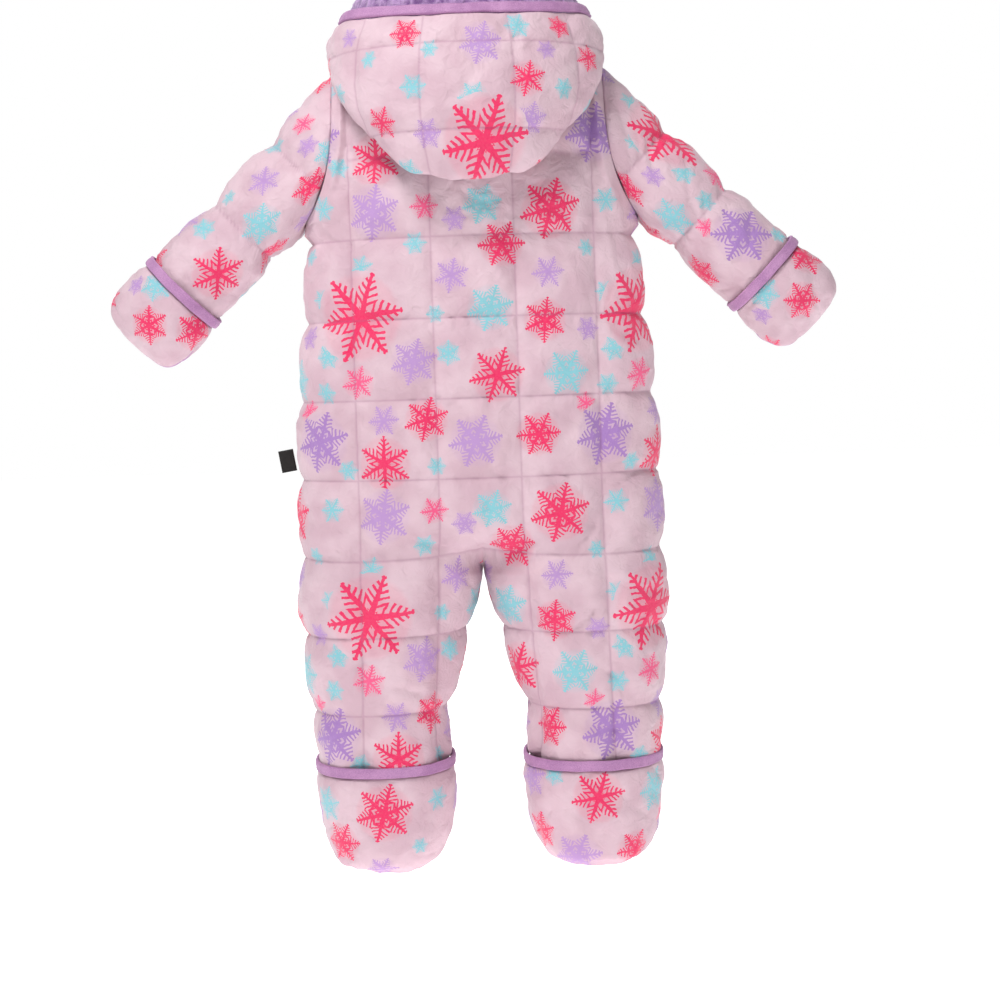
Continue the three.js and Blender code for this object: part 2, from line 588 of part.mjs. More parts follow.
{
  const bodyFront = 1.9;
  const body = solid(box(SLIDER.halfWidth * 2, SLIDER.body, SLIDER.height, 0, bodyFront + SLIDER.body / 2, -1));
  const archHalf = 1.2;
  const arch = new THREE.Shape();
  arch.moveTo(-2.2, -4.2).lineTo(2.4, -4.2).lineTo(2.4, 3.4).lineTo(-2.2, 3.4).closePath();
  const eye = new THREE.Path();
  eye.absarc(0, 0, PULL.eye, 0, Math.PI * 2, true);
  arch.holes.push(eye);
  const strap = new THREE.ExtrudeGeometry(arch, { depth: archHalf * 2, bevelEnabled: false, curveSegments: 8 })
    .translate(0, 0, -archHalf).rotateY(Math.PI / 2).rotateX(Math.PI / 2);
  add('zip_slider', geometryOf(body.add(solid(strap))), PLASTIC, hinge);
  const plate = solid(box(PULL.width, PULL.thickness, PULL.length, 0, 0, -PULL.length / 2 + 0.6));
  const slotCut = box(PULL.slotHalf * 2, PULL.thickness * 3, PULL.slotHeight, 0, 0, -0.6 - PULL.slotHeight / 2);
  const gripCut = box(3.4, PULL.thickness * 3, 6, 0, 0, -PULL.length + 5.6);
  add('zip_pull', geometryOf(plate.subtract(solid(slotCut)).subtract(solid(gripCut))), PLASTIC, hinge);
}

// ---------------------------------------------------------------- side label
{
  const across = new THREE.Group();
  const edge = trunkPoint(1, LABEL.z, 1).x;
  across.position.set(edge + 1.2, 0, LABEL.z);
  across.rotation.y = LABEL.tilt;
  group.add(across);
  const shape = new THREE.Shape();
  const half = LABEL.thickness / 2;
  shape.moveTo(0, -half).lineTo(LABEL.width - half, -half)
    .absarc(LABEL.width - half, 0, half, -Math.PI / 2, Math.PI / 2, false).lineTo(0, half).closePath();
  const tab = new THREE.ExtrudeGeometry(shape, { depth: LABEL.height, bevelEnabled: false, curveSegments: 4 })
    .translate(0, 0, -LABEL.height / 2);
  add('side_label', tab, LABEL_CLOTH, across);
}

export default group;
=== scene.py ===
# %% [markdown]
# # A baby snowsuit, seen from behind
# The suit is one padded garment: a quilted back, two fronts with a zip, sleeves with fold-over mitts,
# legs with foot covers, and a sherpa-lined hood that hangs down the back. Each piece here is a surface
# worked out with numpy from the same few sizes that the frame was cut to, then padded, puckered and
# printed. Lengths are written in millimetres and turned to metres when a mesh is made.

# %% Load the frame
import json
import math

import bmesh
import bpy
import numpy as np
from mathutils import Matrix, Vector

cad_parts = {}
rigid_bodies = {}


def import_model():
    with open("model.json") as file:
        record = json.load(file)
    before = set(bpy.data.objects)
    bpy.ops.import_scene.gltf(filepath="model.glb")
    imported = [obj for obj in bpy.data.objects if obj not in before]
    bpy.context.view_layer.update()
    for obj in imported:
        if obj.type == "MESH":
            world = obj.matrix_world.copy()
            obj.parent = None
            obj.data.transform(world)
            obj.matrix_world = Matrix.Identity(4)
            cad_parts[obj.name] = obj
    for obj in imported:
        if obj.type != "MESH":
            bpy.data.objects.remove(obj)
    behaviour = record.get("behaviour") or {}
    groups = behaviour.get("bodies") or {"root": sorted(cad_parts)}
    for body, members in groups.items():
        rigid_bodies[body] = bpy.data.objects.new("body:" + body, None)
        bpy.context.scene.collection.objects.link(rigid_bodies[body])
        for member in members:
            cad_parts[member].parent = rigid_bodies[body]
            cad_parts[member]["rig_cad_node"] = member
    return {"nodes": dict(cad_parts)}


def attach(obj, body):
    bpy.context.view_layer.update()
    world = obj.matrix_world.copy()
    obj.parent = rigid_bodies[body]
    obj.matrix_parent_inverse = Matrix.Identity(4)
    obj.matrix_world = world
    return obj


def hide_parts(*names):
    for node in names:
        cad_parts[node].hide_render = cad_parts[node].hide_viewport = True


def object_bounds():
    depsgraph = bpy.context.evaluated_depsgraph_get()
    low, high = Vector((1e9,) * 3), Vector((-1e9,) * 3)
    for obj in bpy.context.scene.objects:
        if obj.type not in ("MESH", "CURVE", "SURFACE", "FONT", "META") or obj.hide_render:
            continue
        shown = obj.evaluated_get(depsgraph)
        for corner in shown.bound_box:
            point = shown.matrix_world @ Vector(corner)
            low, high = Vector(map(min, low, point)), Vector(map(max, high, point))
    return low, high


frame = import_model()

cad_box = [[float(v) for v in corner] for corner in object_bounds()]
print("frame:", len(frame["nodes"]), "nodes, box", cad_box)

# %% [markdown]
# ## Camera, light and floor
# A product picture is taken from well back with a long lens, so the sides barely converge.
# The camera stands behind the suit at hip height, tips down a little, and is rolled by under two
# degrees, which leans the whole suit. Light comes from a soft panel above and beside the camera, two
# weaker panels, a dim white room and a glowing floor. The camera itself sees the room as pure white.

# %% Camera
MM = 0.001
CAMERA_PLACE = Vector((0.0, 1.5, -0.262))
CAMERA_AIM = Vector((-0.0165, 0.0, -0.3817))
CAMERA_ROLL = math.radians(1.9)
CAMERA_LENS = 62.4


def look_matrix(place, aim, roll=0.0):
    """Matrix whose -Z looks from place to aim, rolled about the view by an angle."""
    ahead = (aim - place).normalized()
    level = ahead.cross(Vector((0, 0, 1))).normalized()
    upright = level.cross(ahead)
    right = level * math.cos(roll) - upright * math.sin(roll)
    up = level * math.sin(roll) + upright * math.cos(roll)
    turn = Matrix((right, up, -ahead)).transposed().to_4x4()
    return Matrix.Translation(place) @ turn


camera_data = bpy.data.cameras.new("camera")
camera_data.lens = CAMERA_LENS
camera_data.sensor_width = 36
camera = bpy.data.objects.new("camera", camera_data)
camera.matrix_world = look_matrix(CAMERA_PLACE, CAMERA_AIM, CAMERA_ROLL)
bpy.context.collection.objects.link(camera)
bpy.context.scene.camera = camera

# %% Light and floor
def soft_panel(name, place, aim, size, power):
    """A square area light that faces a point."""
    data = bpy.data.lights.new(name, "AREA")
    data.size = size
    data.energy = power
    lamp = bpy.data.objects.new(name, data)
    lamp.matrix_world = look_matrix(Vector(place), Vector(aim))
    bpy.context.collection.objects.link(lamp)


MIDDLE = (0, 0, -0.3)
soft_panel("key_panel", (0.55, 0.9, 1.25), MIDDLE, 0.6, 27)
soft_panel("fill_panel", (-1.4, 1.0, 0.1), MIDDLE, 1.2, 3)
soft_panel("front_panel", (0.3, -1.6, 0.9), MIDDLE, 1.4, 11)
world = bpy.data.worlds.new("room")
bpy.context.scene.world = world
world.use_nodes = True
world_tree = world.node_tree
room = world_tree.nodes["Background"]
room.inputs["Color"].default_value = (1, 1, 1, 1)
room.inputs["Strength"].default_value = 0.27
backdrop = world_tree.nodes.new("ShaderNodeBackground")
backdrop.inputs["Color"].default_value = (1, 1, 1, 1)
seen = world_tree.nodes.new("ShaderNodeMixShader")
world_tree.links.new(world_tree.nodes.new("ShaderNodeLightPath").outputs["Is Camera Ray"], seen.inputs[0])
world_tree.links.new(room.outputs[0], seen.inputs[1])
world_tree.links.new(backdrop.outputs[0], seen.inputs[2])
world_tree.links.new(seen.outputs[0], world_tree.nodes["World Output"].inputs[0])
bpy.context.scene.view_settings.view_transform = "Standard"

floor_z = cad_box[0][2] - 0.001
floor_mesh = bpy.data.meshes.new("floor")
FLOOR_HALF = 6
floor_corners = [(x * FLOOR_HALF, y * FLOOR_HALF, floor_z) for x, y in ((-1, -1), (1, -1), (1, 1), (-1, 1))]
floor_mesh.from_pydata(floor_corners, [], [(0, 1, 2, 3)])
floor = bpy.data.objects.new("floor", floor_mesh)
bpy.context.collection.objects.link(floor)

# %% [markdown]
# ## Writing shaders as sums
# Node trees are easier to read as arithmetic. `Wire` wraps a socket, so `1 - mask * 0.5` adds the
# Math nodes; vectors and colours have methods of their own, because a Math node would turn them grey.

# %% Shader arithmetic
class Wire:
    """An output socket that can be added, multiplied and compared."""

    def __init__(self, tree, socket):
        self.tree = tree
        self.socket = socket

    def node(self, kind, settings=None, out=0, **inputs):
        """Any node: settings first, then values or wires for its inputs (names, or i0, i1 by number)."""
        made = self.tree.nodes.new(kind)
        for key, value in (settings or {}).items():
            setattr(made, key, value)
        for key, value in inputs.items():
            numbered = key[0] == "i" and key[1:].isdigit()
            target = made.inputs[int(key[1:])] if numbered else made.inputs[key.replace("_", " ")]
            if isinstance(value, Wire):
                self.tree.links.new(value.socket, target)
            else:
                target.default_value = value
        return Wire(self.tree, made.outputs[out])

    def math(self, operation, *others):
        slots = {f"i{n}": value for n, value in enumerate((self, *others))}
        return self.node("ShaderNodeMath", {"operation": operation}, **slots)

    def vector(self, operation, *others, out=0):
        slots = {f"i{n}": value for n, value in enumerate((self, *others))}
        return self.node("ShaderNodeVectorMath", {"operation": operation}, out, **slots)

    def __add__(self, other):
        return self.math("ADD", other)

    def __radd__(self, other):
        return self.math("ADD", other)

    def __sub__(self, other):
        return self.math("SUBTRACT", other)

    def __rsub__(self, other):
        return self.node("ShaderNodeMath", {"operation": "SUBTRACT"}, i0=other, i1=self)

    def __mul__(self, other):
        return self.math("MULTIPLY", other)

    def __rmul__(self, other):
        return self.math("MULTIPLY", other)

    def __lt__(self, other):
        return self.math("LESS_THAN", other)

    def __gt__(self, other):
        return self.math("GREATER_THAN", other)

    def ramp(self, low, high, smooth=True):
        """0 below low, 1 above high (or the reverse if low is the larger)."""
        style = "SMOOTHSTEP" if smooth else "LINEAR"
        return self.node("ShaderNodeMapRange", {"interpolation_type": style}, i0=self, i1=low, i2=high)

    def mix(self, under, over):
        """Mix two colours by this factor."""
        made = self.tree.nodes.new("ShaderNodeMix")
        made.data_type = "RGBA"
        made.clamp_factor = True
        for place, value in ((0, self), (6, under), (7, over)):
            if isinstance(value, Wire):
                self.tree.links.new(value.socket, made.inputs[place])
            else:
                made.inputs[place].default_value = value if place == 0 else (*value[:3], 1)
        return Wire(self.tree, made.outputs[2])

    def mix_vector(self, under, over):
        """Mix two vectors by this factor."""
        made = self.tree.nodes.new("ShaderNodeMix")
        made.data_type = "VECTOR"
        for place, value in ((0, self), (4, under), (5, over)):
            self.tree.links.new(value.socket, made.inputs[place])
        return Wire(self.tree, made.outputs[1])


def colour(red, green, blue):
    """A colour on the 0 to 255 scale that screens use, as the linear light that shaders use."""
    def linear(v):
        v = v / 255
        return v / 12.92 if v <= 0.04045 else ((v + 0.055) / 1.055) ** 2.4
    return (linear(red), linear(green), linear(blue), 1.0)


def new_material(name, roughness, sheen=0.0, sheen_roughness=0.5):
    """An empty Principled material, its shader and a wire to build from."""
    material = bpy.data.materials.new(name)
    material.use_nodes = True
    tree = material.node_tree
    shader = tree.nodes["Principled BSDF"]
    shader.inputs["Roughness"].default_value = roughness
    shader.inputs["Specular IOR Level"].default_value = 0.3
    shader.inputs["Sheen Weight"].default_value = sheen
    shader.inputs["Sheen Roughness"].default_value = sheen_roughness
    start = Wire(tree, tree.nodes.new("ShaderNodeTexCoord").outputs["Object"])
    return material, shader, start


def point_value(start, name):
    """A number stored per point on the mesh, as a wire."""
    stored = start.node("ShaderNodeAttribute", {"attribute_name": name})
    return Wire(start.tree, stored.socket.node.outputs["Fac"])


def plug(wire, shader, name):
    wire.tree.links.new(wire.socket, shader.inputs[name])


def bumped(height, shader, strength, distance):
    """Feed a height in as a bump."""
    normal = height.node("ShaderNodeBump", None, 0, Strength=strength, Distance=distance, Height=height)
    plug(normal, shader, "Normal")


floor_material, floor_shader, start = new_material("studio_floor", 0.9)
grain = start.node("ShaderNodeTexNoise", None, 0, Vector=start, Scale=3.0)
plug(grain.mix(colour(252, 252, 252), colour(255, 255, 255)), floor_shader, "Base Color")
floor_shader.inputs["Emission Color"].default_value = (1, 1, 1, 1)
floor_shader.inputs["Emission Strength"].default_value = 0.78
floor_mesh.materials.append(floor_material)
print("floor at", round(floor_z, 4))

# %% [markdown]
# ## The snowflake print
# The cloth is printed with snowflakes in pink-red, teal and lilac, in a repeat of about a quarter of
# a metre. One way is to paint it, but a chart is sharper and needs no picture: each flake is a place,
# a radius, a colour and a kind. Every flake in turn measures where it is on the cloth and, inside its
# radius, hands on its own local place; one six-armed pattern is then drawn from that.

# %% Chart of the repeat: right, down, radius (mm), colour, kind, turn (degrees)
RED, TEAL, LILAC, PINK, PURPLE = 0, 1, 2, 3, 4
STAR, LACE = 0, 1
REPEAT = (246, 251)
REPEAT_CHART = [
    (0, 0, 39, RED, STAR, 5), (65, -1, 8, TEAL, LACE, 0), (111, -4, 20, TEAL, LACE, 10),
    (157, 7, 19, RED, LACE, 20), (194, 15, 11, LILAC, LACE, 0), (211, -16, 9, TEAL, STAR, 0),
    (235, -14, 10, TEAL, LACE, 15), (217, 32, 11, TEAL, LACE, 0), (75, 32, 11, TEAL, LACE, 25),
    (46, 38, 20, LILAC, LACE, 12), (115, 51, 24, RED, STAR, 8), (173, 51, 20, TEAL, LACE, 0),
    (-3, 54, 15, PINK, STAR, 10), (211, 62, 10, TEAL, LACE, 0), (55, 86, 19, RED, LACE, 15),
    (19, 86, 14, LILAC, STAR, 0), (190, 77, 10, PINK, STAR, 20), (95, 105, 23, LILAC, LACE, 5),
    (148, 101, 19, RED, LACE, 0), (206, 103, 27, PURPLE, LACE, 10), (18, 122, 24, RED, STAR, 25),
    (62, 125, 8, TEAL, LACE, 0), (230, 127, 9, TEAL, LACE, 0), (215, 160, 11, TEAL, STAR, 0),
    (16, 166, 24, LILAC, LACE, 18), (59, 162, 12, PINK, STAR, 0), (107, 162, 17, TEAL, LACE, 8),
    (84, 173, 11, LILAC, LACE, 0), (164, 167, 26, RED, LACE, 12), (122, 195, 20, RED, LACE, 0),
    (50, 192, 10, TEAL, LACE, 0), (195, 199, 8, TEAL, LACE, 0), (3, 210, 11, TEAL, STAR, 10),
    (160, 219, 14, LILAC, STAR, 0), (80, 219, 15, LILAC, STAR, 15),
]
HOOD_CHART = [
    (14, 106, 39, RED, STAR, 8), (5, 71, 13, TEAL, LACE, 0), (-44, 61, 11, TEAL, LACE, 0),
    (50, 57, 15, RED, STAR, 12), (13, 27, 19, LILAC, LACE, 10), (47, 12, 12, TEAL, LACE, 0),
    (-53, 17, 14, RED, LACE, 0), (87, 13, 11, RED, LACE, 10), (-84, 37, 8, TEAL, LACE, 0),
    (81, 65, 9, TEAL, LACE, 0), (-35, 98, 13, LILAC, LACE, 0), (52, 90, 15, LILAC, LACE, 15),
    (119, 80, 9, TEAL, LACE, 0), (-117, 62, 9, TEAL, STAR, 0), (-31, 31, 8, TEAL, LACE, 0),
    (69, 34, 9, LILAC, LACE, 0), (-111, 17, 9, LILAC, STAR, 0), (-75, 88, 14, RED, STAR, 0),
    (110, 40, 12, RED, STAR, 10), (-150, 45, 16, RED, LACE, 0), (150, 50, 16, LILAC, LACE, 0),
    (-185, 60, 13, TEAL, LACE, 0), (190, 40, 15, RED, STAR, 0), (-215, 30, 15, LILAC, STAR, 0),
    (225, 60, 12, TEAL, STAR, 0), (-60, 130, 14, TEAL, LACE, 0), (75, 135, 17, RED, LACE, 0),
    (-10, 160, 18, LILAC, LACE, 0), (40, 185, 15, RED, STAR, 0), (-55, 175, 16, PINK, STAR, 0),
]
MITT_CHART = [
    (-17, 12, 15, TEAL, LACE, 0), (-32, 24, 10, LILAC, LACE, 0), (2, 41, 17, RED, LACE, 10),
    (37, 17, 20, RED, LACE, 0), (-50, 52, 14, RED, STAR, 0), (60, 50, 13, LILAC, LACE, 0),
    (90, 20, 16, TEAL, LACE, 0), (-80, 22, 19, LILAC, LACE, 0), (-110, 48, 15, RED, STAR, 0),
]


KIND_STEP = 8             # a flake's code is its colour + 1, + 8 if it is lace, + its turn as a fraction


def print_places(uv, chart, repeat):
    """Each flake's own place (in radii), with its code as the third number; the last flake lies on top."""
    total = uv.vector("MULTIPLY", (0, 0, 0))
    for right, down, radius, tint, kind, turn in sorted(chart, key=lambda flake: flake[2]):
        code = tint + 1 + KIND_STEP * kind + (turn + 3) / 60
        scale = 1 / (radius * MM)
        half = (repeat[0] * MM / 2 * scale, repeat[1] * MM / 2 * scale, 64)
        place = uv.vector("MULTIPLY_ADD", (scale, scale, 0), (-right / radius, -down / radius, code))
        place = place.vector("WRAP", half, tuple(-v for v in half))
        inside = place.vector("DISTANCE", (0, 0, code), out=1) < 1.0
        total = inside.mix_vector(total, place)
    return total


def flake_drawing(places, ragged):
    """How strongly a six-armed flake covers each point, and where its pale middle shows.

    The angle is folded into one arm; `out` runs along the arm and `off` away from it. Barbs leave
    the arm at even steps, and are longer and closer on lace flakes than on stars.
    """
    parts = places.node("ShaderNodeSeparateXYZ", None, 0, Vector=places).socket.node.outputs
    x, y, code = (Wire(places.tree, socket) for socket in parts)
    turn = code.math("FRACT") * (math.pi / 3)
    kind = code > KIND_STEP
    tint = code.math("FLOOR") - kind * KIND_STEP
    radius = places.vector("MULTIPLY", (1, 1, 0)).vector("LENGTH", out=1)
    angle = (y.math("ARCTAN2", x) + turn).math("WRAP", math.pi / 6, -math.pi / 6).math("ABSOLUTE")
    out = radius * angle.math("COSINE")
    off = radius * angle.math("SINE")
    inside = tint > 0.5
    arm = (off + ragged * 0.03) < (0.085 - 0.055 * out)
    step = 0.17 - 0.045 * kind
    barb_place = out - off * (0.75 - 0.3 * kind)
    barb = ((barb_place + ragged * 0.02).math("PINGPONG", step * 0.5)) > (step * 0.5 - 0.036 + 0.008 * kind)
    reach = (0.40 + 0.12 * kind) * (1.06 - barb_place)
    barb = barb * (off < reach) * (barb_place > 0.1)
    tip = (out - 0.42).math("ABSOLUTE") < 0.035
    twig = tip * kind * (off < 0.26)
    drawn = arm.math("MAXIMUM", barb).math("MAXIMUM", twig) * inside * (radius < (0.99 + ragged * 0.1))
    heart = inside * radius.ramp(0.62, 0.30)
    return drawn, heart, tint, inside, radius


def printed_cloth(name, chart, repeat):
    """Woven polyester face cloth with the print, the dark stitched lines and a fine weave."""
    material, shader, start = new_material(name, 0.58, sheen=0.22)
    uv = Wire(start.tree, start.node("ShaderNodeUVMap", {"uv_map": "cloth"}).socket)
    line = point_value(start, "line")
    speck = start.node("ShaderNodeTexNoise", None, 0, Vector=uv, Scale=520.0, Detail=2.0)
    wander = start.node("ShaderNodeTexNoise", None, 1, Vector=uv, Scale=170.0, Detail=2.0)
    moved = wander.vector("SUBTRACT", (0.5, 0.5, 0.5)).vector("SCALE")
    moved.socket.node.inputs["Scale"].default_value = 0.0030
    places = print_places(uv.vector("ADD", moved), chart, repeat)
    drawn, heart, tint, inside, radius = flake_drawing(places, speck - 0.5)
    inks = start.tree.nodes.new("ShaderNodeValToRGB")
    inks.color_ramp.interpolation = "CONSTANT"
    stops = [(0.0, (226, 34, 92)), (0.25, (128, 192, 202)), (0.42, (178, 140, 194)),
             (0.58, (232, 84, 132)), (0.75, (160, 120, 184))]
    while len(inks.color_ramp.elements) < len(stops):
        inks.color_ramp.elements.new(0.5)
    for element, (place, ink) in zip(inks.color_ramp.elements, stops):
        element.position = place
        element.color = colour(*ink)
    start.tree.links.new((tint * (1 / 6)).socket, inks.inputs[0])
    ink = Wire(start.tree, inks.outputs[0])
    cloud = start.node("ShaderNodeTexNoise", None, 0, Vector=uv, Scale=26.0, Detail=2.0)
    ground = cloud.ramp(0.35, 0.65).mix(colour(200, 168, 180), colour(212, 184, 194))
    halo = inside * (0.14 + heart * 0.24) * (radius.ramp(1.0, 0.82))
    soft = halo.mix(ground, ink)
    strong = (drawn * (0.86 + speck * 0.2)).mix(soft, ink)
    weave_across = (uv.vector("MULTIPLY", (1, 0, 0)).vector("LENGTH", out=1) * 5200).math("SINE")
    weave_down = (uv.vector("MULTIPLY", (0, 1, 0)).vector("LENGTH", out=1) * 5200).math("SINE")
    weave = weave_across * weave_down
    stitched = (line * 0.30).mix(strong, colour(150, 96, 128))
    plug(stitched, shader, "Base Color")
    plug(0.54 + speck * 0.12 + line * 0.15, shader, "Roughness")
    crush = start.node("ShaderNodeTexNoise", None, 0, Vector=uv, Scale=95.0, Detail=4.0, Distortion=0.8)
    bumped(crush * 1.1 + weave * 0.02 + cloud * 0.6, shader, 0.75, 0.0026)
    return material


PRINTED = printed_cloth("printed_cloth", REPEAT_CHART, REPEAT)
HOOD_PRINT = printed_cloth("hood_print", HOOD_CHART, (1000, 1000))
MITT_PRINT = printed_cloth("mitt_print", MITT_CHART, (1000, 1000))
print("print nodes:", len(PRINTED.node_tree.nodes))

# %% Plain finishes
def plain_cloth(name, dark, light, grain_scale, roughness, depth, sheen=0.1):
    """A plain cloth: two close tones in a fine grain, with a woven bump."""
    material, shader, start = new_material(name, roughness, sheen=sheen)
    fine = start.node("ShaderNodeTexNoise", None, 0, Vector=start, Scale=grain_scale, Detail=3.0)
    broad = start.node("ShaderNodeTexNoise", None, 0, Vector=start, Scale=60.0, Detail=2.0)
    mottled = (fine * 0.6 + broad * 0.4).ramp(0.35, 0.65)
    plug(mottled.mix(colour(*dark), colour(*light)), shader, "Base Color")
    bumped(fine, shader, 0.5, depth)
    return material


BINDING = plain_cloth("mauve_binding", (160, 112, 158), (190, 142, 184), 1400.0, 0.62, 0.0006)
INSIDE = plain_cloth("inner_cloth", (214, 176, 206), (226, 192, 216), 1500.0, 0.7, 0.0004)
LABEL = plain_cloth("label_cloth", (14, 12, 11), (30, 27, 25), 2200.0, 0.6, 0.0005)
ZIP_TAPE = plain_cloth("zip_tape_cloth", (176, 128, 172), (192, 146, 186), 2000.0, 0.7, 0.0004)


def sherpa_pile():
    """Curly pile: a painted highlight on the curls' tips and painted shade between them, with a random tone
    and a broken bump.
    """
    material, shader, start = new_material("sherpa_pile", 0.9, sheen=0.5)
    height = point_value(start, "height")
    curls = start.node("ShaderNodeTexNoise", None, 0, Vector=start, Scale=420.0, Detail=4.0, Distortion=1.2)
    # painted highlight and shade: pale where a curl stands high, dark in the hollows between curls, mixed
    # with a random tone
    curl_shade_and_tone = (height * 0.7 + curls * 0.5).ramp(0.2, 1.0)
    plug(curl_shade_and_tone.mix(colour(122, 80, 142), colour(196, 158, 208)), shader, "Base Color")
    bumped(curls, shader, 0.8, 0.0025)
    return material


SHERPA = sherpa_pile()


def zip_plastic():
    """Moulded mauve plastic with a faint cloudy gloss."""
    material, shader, start = new_material("zip_plastic", 0.35)
    cloud = start.node("ShaderNodeTexNoise", None, 0, Vector=start, Scale=300.0, Detail=2.0)
    plug(cloud.mix(colour(150, 102, 152), colour(172, 124, 170)), shader, "Base Color")
    plug(0.3 + cloud * 0.15, shader, "Roughness")
    bumped(cloud, shader, 0.2, 0.0003)
    return material


PLASTIC = zip_plastic()
print("finishes:", len(bpy.data.materials))

# %% [markdown]
# ## Sizes and shared curves
# These are the sizes that the frame was cut to. A `smooth curve` through a few widths gives the
# outline, and a rounded section, between an ellipse and a box, gives each slice.

# %% Sizes of the suit (mm)
ROW_PITCH, FIRST_ROW = 66.8, -91
NECK_HALF, NECK_SIDE = 62, 4
NECK_REACH, NECK_DROP = {1: 52, -1: 50}, {1: 12, -1: 22}
SHOULDER_TIP, SHOULDER_DROP = 114, 16
CHEST_Z, CHEST_HALF, CHEST_DEPTH = -145, 142, 66
SEAT_Z, CROTCH_Z = -372, FIRST_ROW - 5.25 * ROW_PITCH
LEG_END_Z = -621
ROUNDNESS = 2.3
SEAM = 0.3
OUTER = [(-145, 142), (-220, 149), (-290, 156), (-360, 159), (-425, 160), (-480, 161),
         (-530, 157), (-570, 155), (-600, 148), (-608, 145.5), (-621, 143)]
INNER = [(CROTCH_Z, 0), (-475, 6), (-500, 12.5), (-530, 22), (-568, 31), (-600, 35), (-608, 38), (-621, 40)]
DEPTH = [(-145, 66), (-220, 67), (-290, 69), (-360, 71), (-425, 70), (-480, 66),
         (-530, 60), (-570, 57), (-600, 52.5), (-608, 50), (-621, 48.5)]
COLUMN_LINES = [(35, 41), (104, 108)]      # quilting lines either side: across the trunk, and at the ankle


def along(keys, place):
    """Smooth curve through (place, value) pairs: a cubic between each two, sloped by its neighbours."""
    keys = sorted(keys)
    at, value = np.array([k[0] for k in keys], float), np.array([k[1] for k in keys], float)
    slope = np.empty(len(keys))
    slope[1:-1] = (value[2:] - value[:-2]) / (at[2:] - at[:-2])
    slope[0], slope[-1] = (value[1] - value[0]) / (at[1] - at[0]), (value[-1] - value[-2]) / (at[-1] - at[-2])
    place = np.clip(place, at[0], at[-1])
    i = np.clip(np.searchsorted(at, place, side="right") - 1, 0, len(keys) - 2)
    span = at[i + 1] - at[i]
    t = (place - at[i]) / span
    return (value[i] * (1 + 2 * t) * (1 - t) ** 2 + slope[i] * span * t * (1 - t) ** 2
            + value[i + 1] * t * t * (3 - 2 * t) + slope[i + 1] * span * t * t * (t - 1))


def rounded(g):
    """Share of the depth at share g of the half width: (1 - |g|^n)^(1/n)."""
    return (1 - np.minimum(1, np.abs(g)) ** ROUNDNESS) ** (1 / ROUNDNESS)


FAR = 60.0                # a distance past every line and seam: no padding dips there
CLOTH_THICK = 2.4         # of the padded cloth's wall


def smooth(low, high, value):
    """0 below low to 1 above high, easing at both ends (or the reverse if low is the larger)."""
    t = np.clip((value - low) / (high - low), 0, 1)
    return t * t * (3 - 2 * t)


def ripples(points, wavelength, seed, count=9):
    """Smooth noise from -1 to 1: a sum of sine waves of one wavelength in random directions."""
    draw = np.random.default_rng(seed)
    ways = draw.normal(size=(count, points.shape[-1]))
    ways /= np.linalg.norm(ways, axis=1, keepdims=True)
    lengths = wavelength * draw.uniform(0.7, 1.4, count)
    phases = draw.uniform(0, 2 * np.pi, count)
    waves = np.sin(points @ (ways / lengths[:, None]).T * 2 * np.pi + phases)
    return waves.sum(-1) / math.sqrt(count * 0.5) * 0.5


def normals_of(points, quads):
    """Unit normal at each point, from the diagonals of the quads round it."""
    p = points[quads]
    face = np.cross(p[:, 2] - p[:, 0], p[:, 3] - p[:, 1])
    total = np.zeros_like(points)
    for corner in range(4):
        np.add.at(total, quads[:, corner], face)
    return total / np.maximum(np.linalg.norm(total, axis=1, keepdims=True), 1e-12)


def grid_quads(rows, columns, ring=False, first=0):
    """Quads of a grid of points; the last column joins the first if it is a ring."""
    r, c = np.meshgrid(np.arange(rows - 1), np.arange(columns if ring else columns - 1), indexing="ij")
    after = (c + 1) % columns
    a = r * columns + c
    corners = [a, a + columns, (r + 1) * columns + after, r * columns + after]
    return first + np.stack(corners, -1).reshape(-1, 4)


print("crotch at", round(CROTCH_Z, 1), "mm")

# %% Making a mesh
def make_piece(name, points, faces, material, body="suit", uv=None, values=None, inner=None, thickness=0.0):
    """A mesh object from points in mm. `uv` is per face corner; `values` are named numbers per point."""
    mesh = bpy.data.meshes.new(name)
    if isinstance(faces, np.ndarray):
        mesh.vertices.add(len(points))
        mesh.vertices.foreach_set("co", (points * MM).astype(np.float32).ravel())
        mesh.loops.add(faces.size)
        mesh.loops.foreach_set("vertex_index", faces.astype(np.int32).ravel())
        mesh.polygons.add(len(faces))
        starts = np.arange(len(faces), dtype=np.int32) * faces.shape[1]
        mesh.polygons.foreach_set("loop_start", starts)
        mesh.update(calc_edges=True)
    else:
        mesh.from_pydata((points * MM).tolist(), [], faces)
    mesh.polygons.foreach_set("use_smooth", np.ones(len(mesh.polygons), bool))
    if uv is not None:
        layer = mesh.uv_layers.new(name="cloth")
        layer.data.foreach_set("uv", (uv * MM).astype(np.float32).ravel())
    for key, data in (values or {}).items():
        mesh.attributes.new(key, "FLOAT", "POINT").data.foreach_set("value", data.astype(np.float32).ravel())
    mesh.validate()
    mesh.materials.append(material)
    piece = bpy.data.objects.new(name, mesh)
    bpy.context.collection.objects.link(piece)
    if thickness:
        mesh.materials.append(inner)
        padding = piece.modifiers.new("padding", "SOLIDIFY")
        padding.thickness = thickness * MM
        padding.offset = -1
        padding.material_offset = 1
        padding.material_offset_rim = 0
    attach(piece, body)
    return piece

# %% [markdown]
# ## The quilted body
# The back is one piece from the neck to the ankles. It could be modelled by hand and pillows sculpted
# in, but a formula keeps the pillows regular. Every row across is walked by its length, so the
# stitched lines fall on rows and columns of the grid, and the grid is closest there: the padding can
# then dip sharply at a line and swell between two. Puckers run across each line and die away from it.

# %% Slices of the body
DENSE = 360


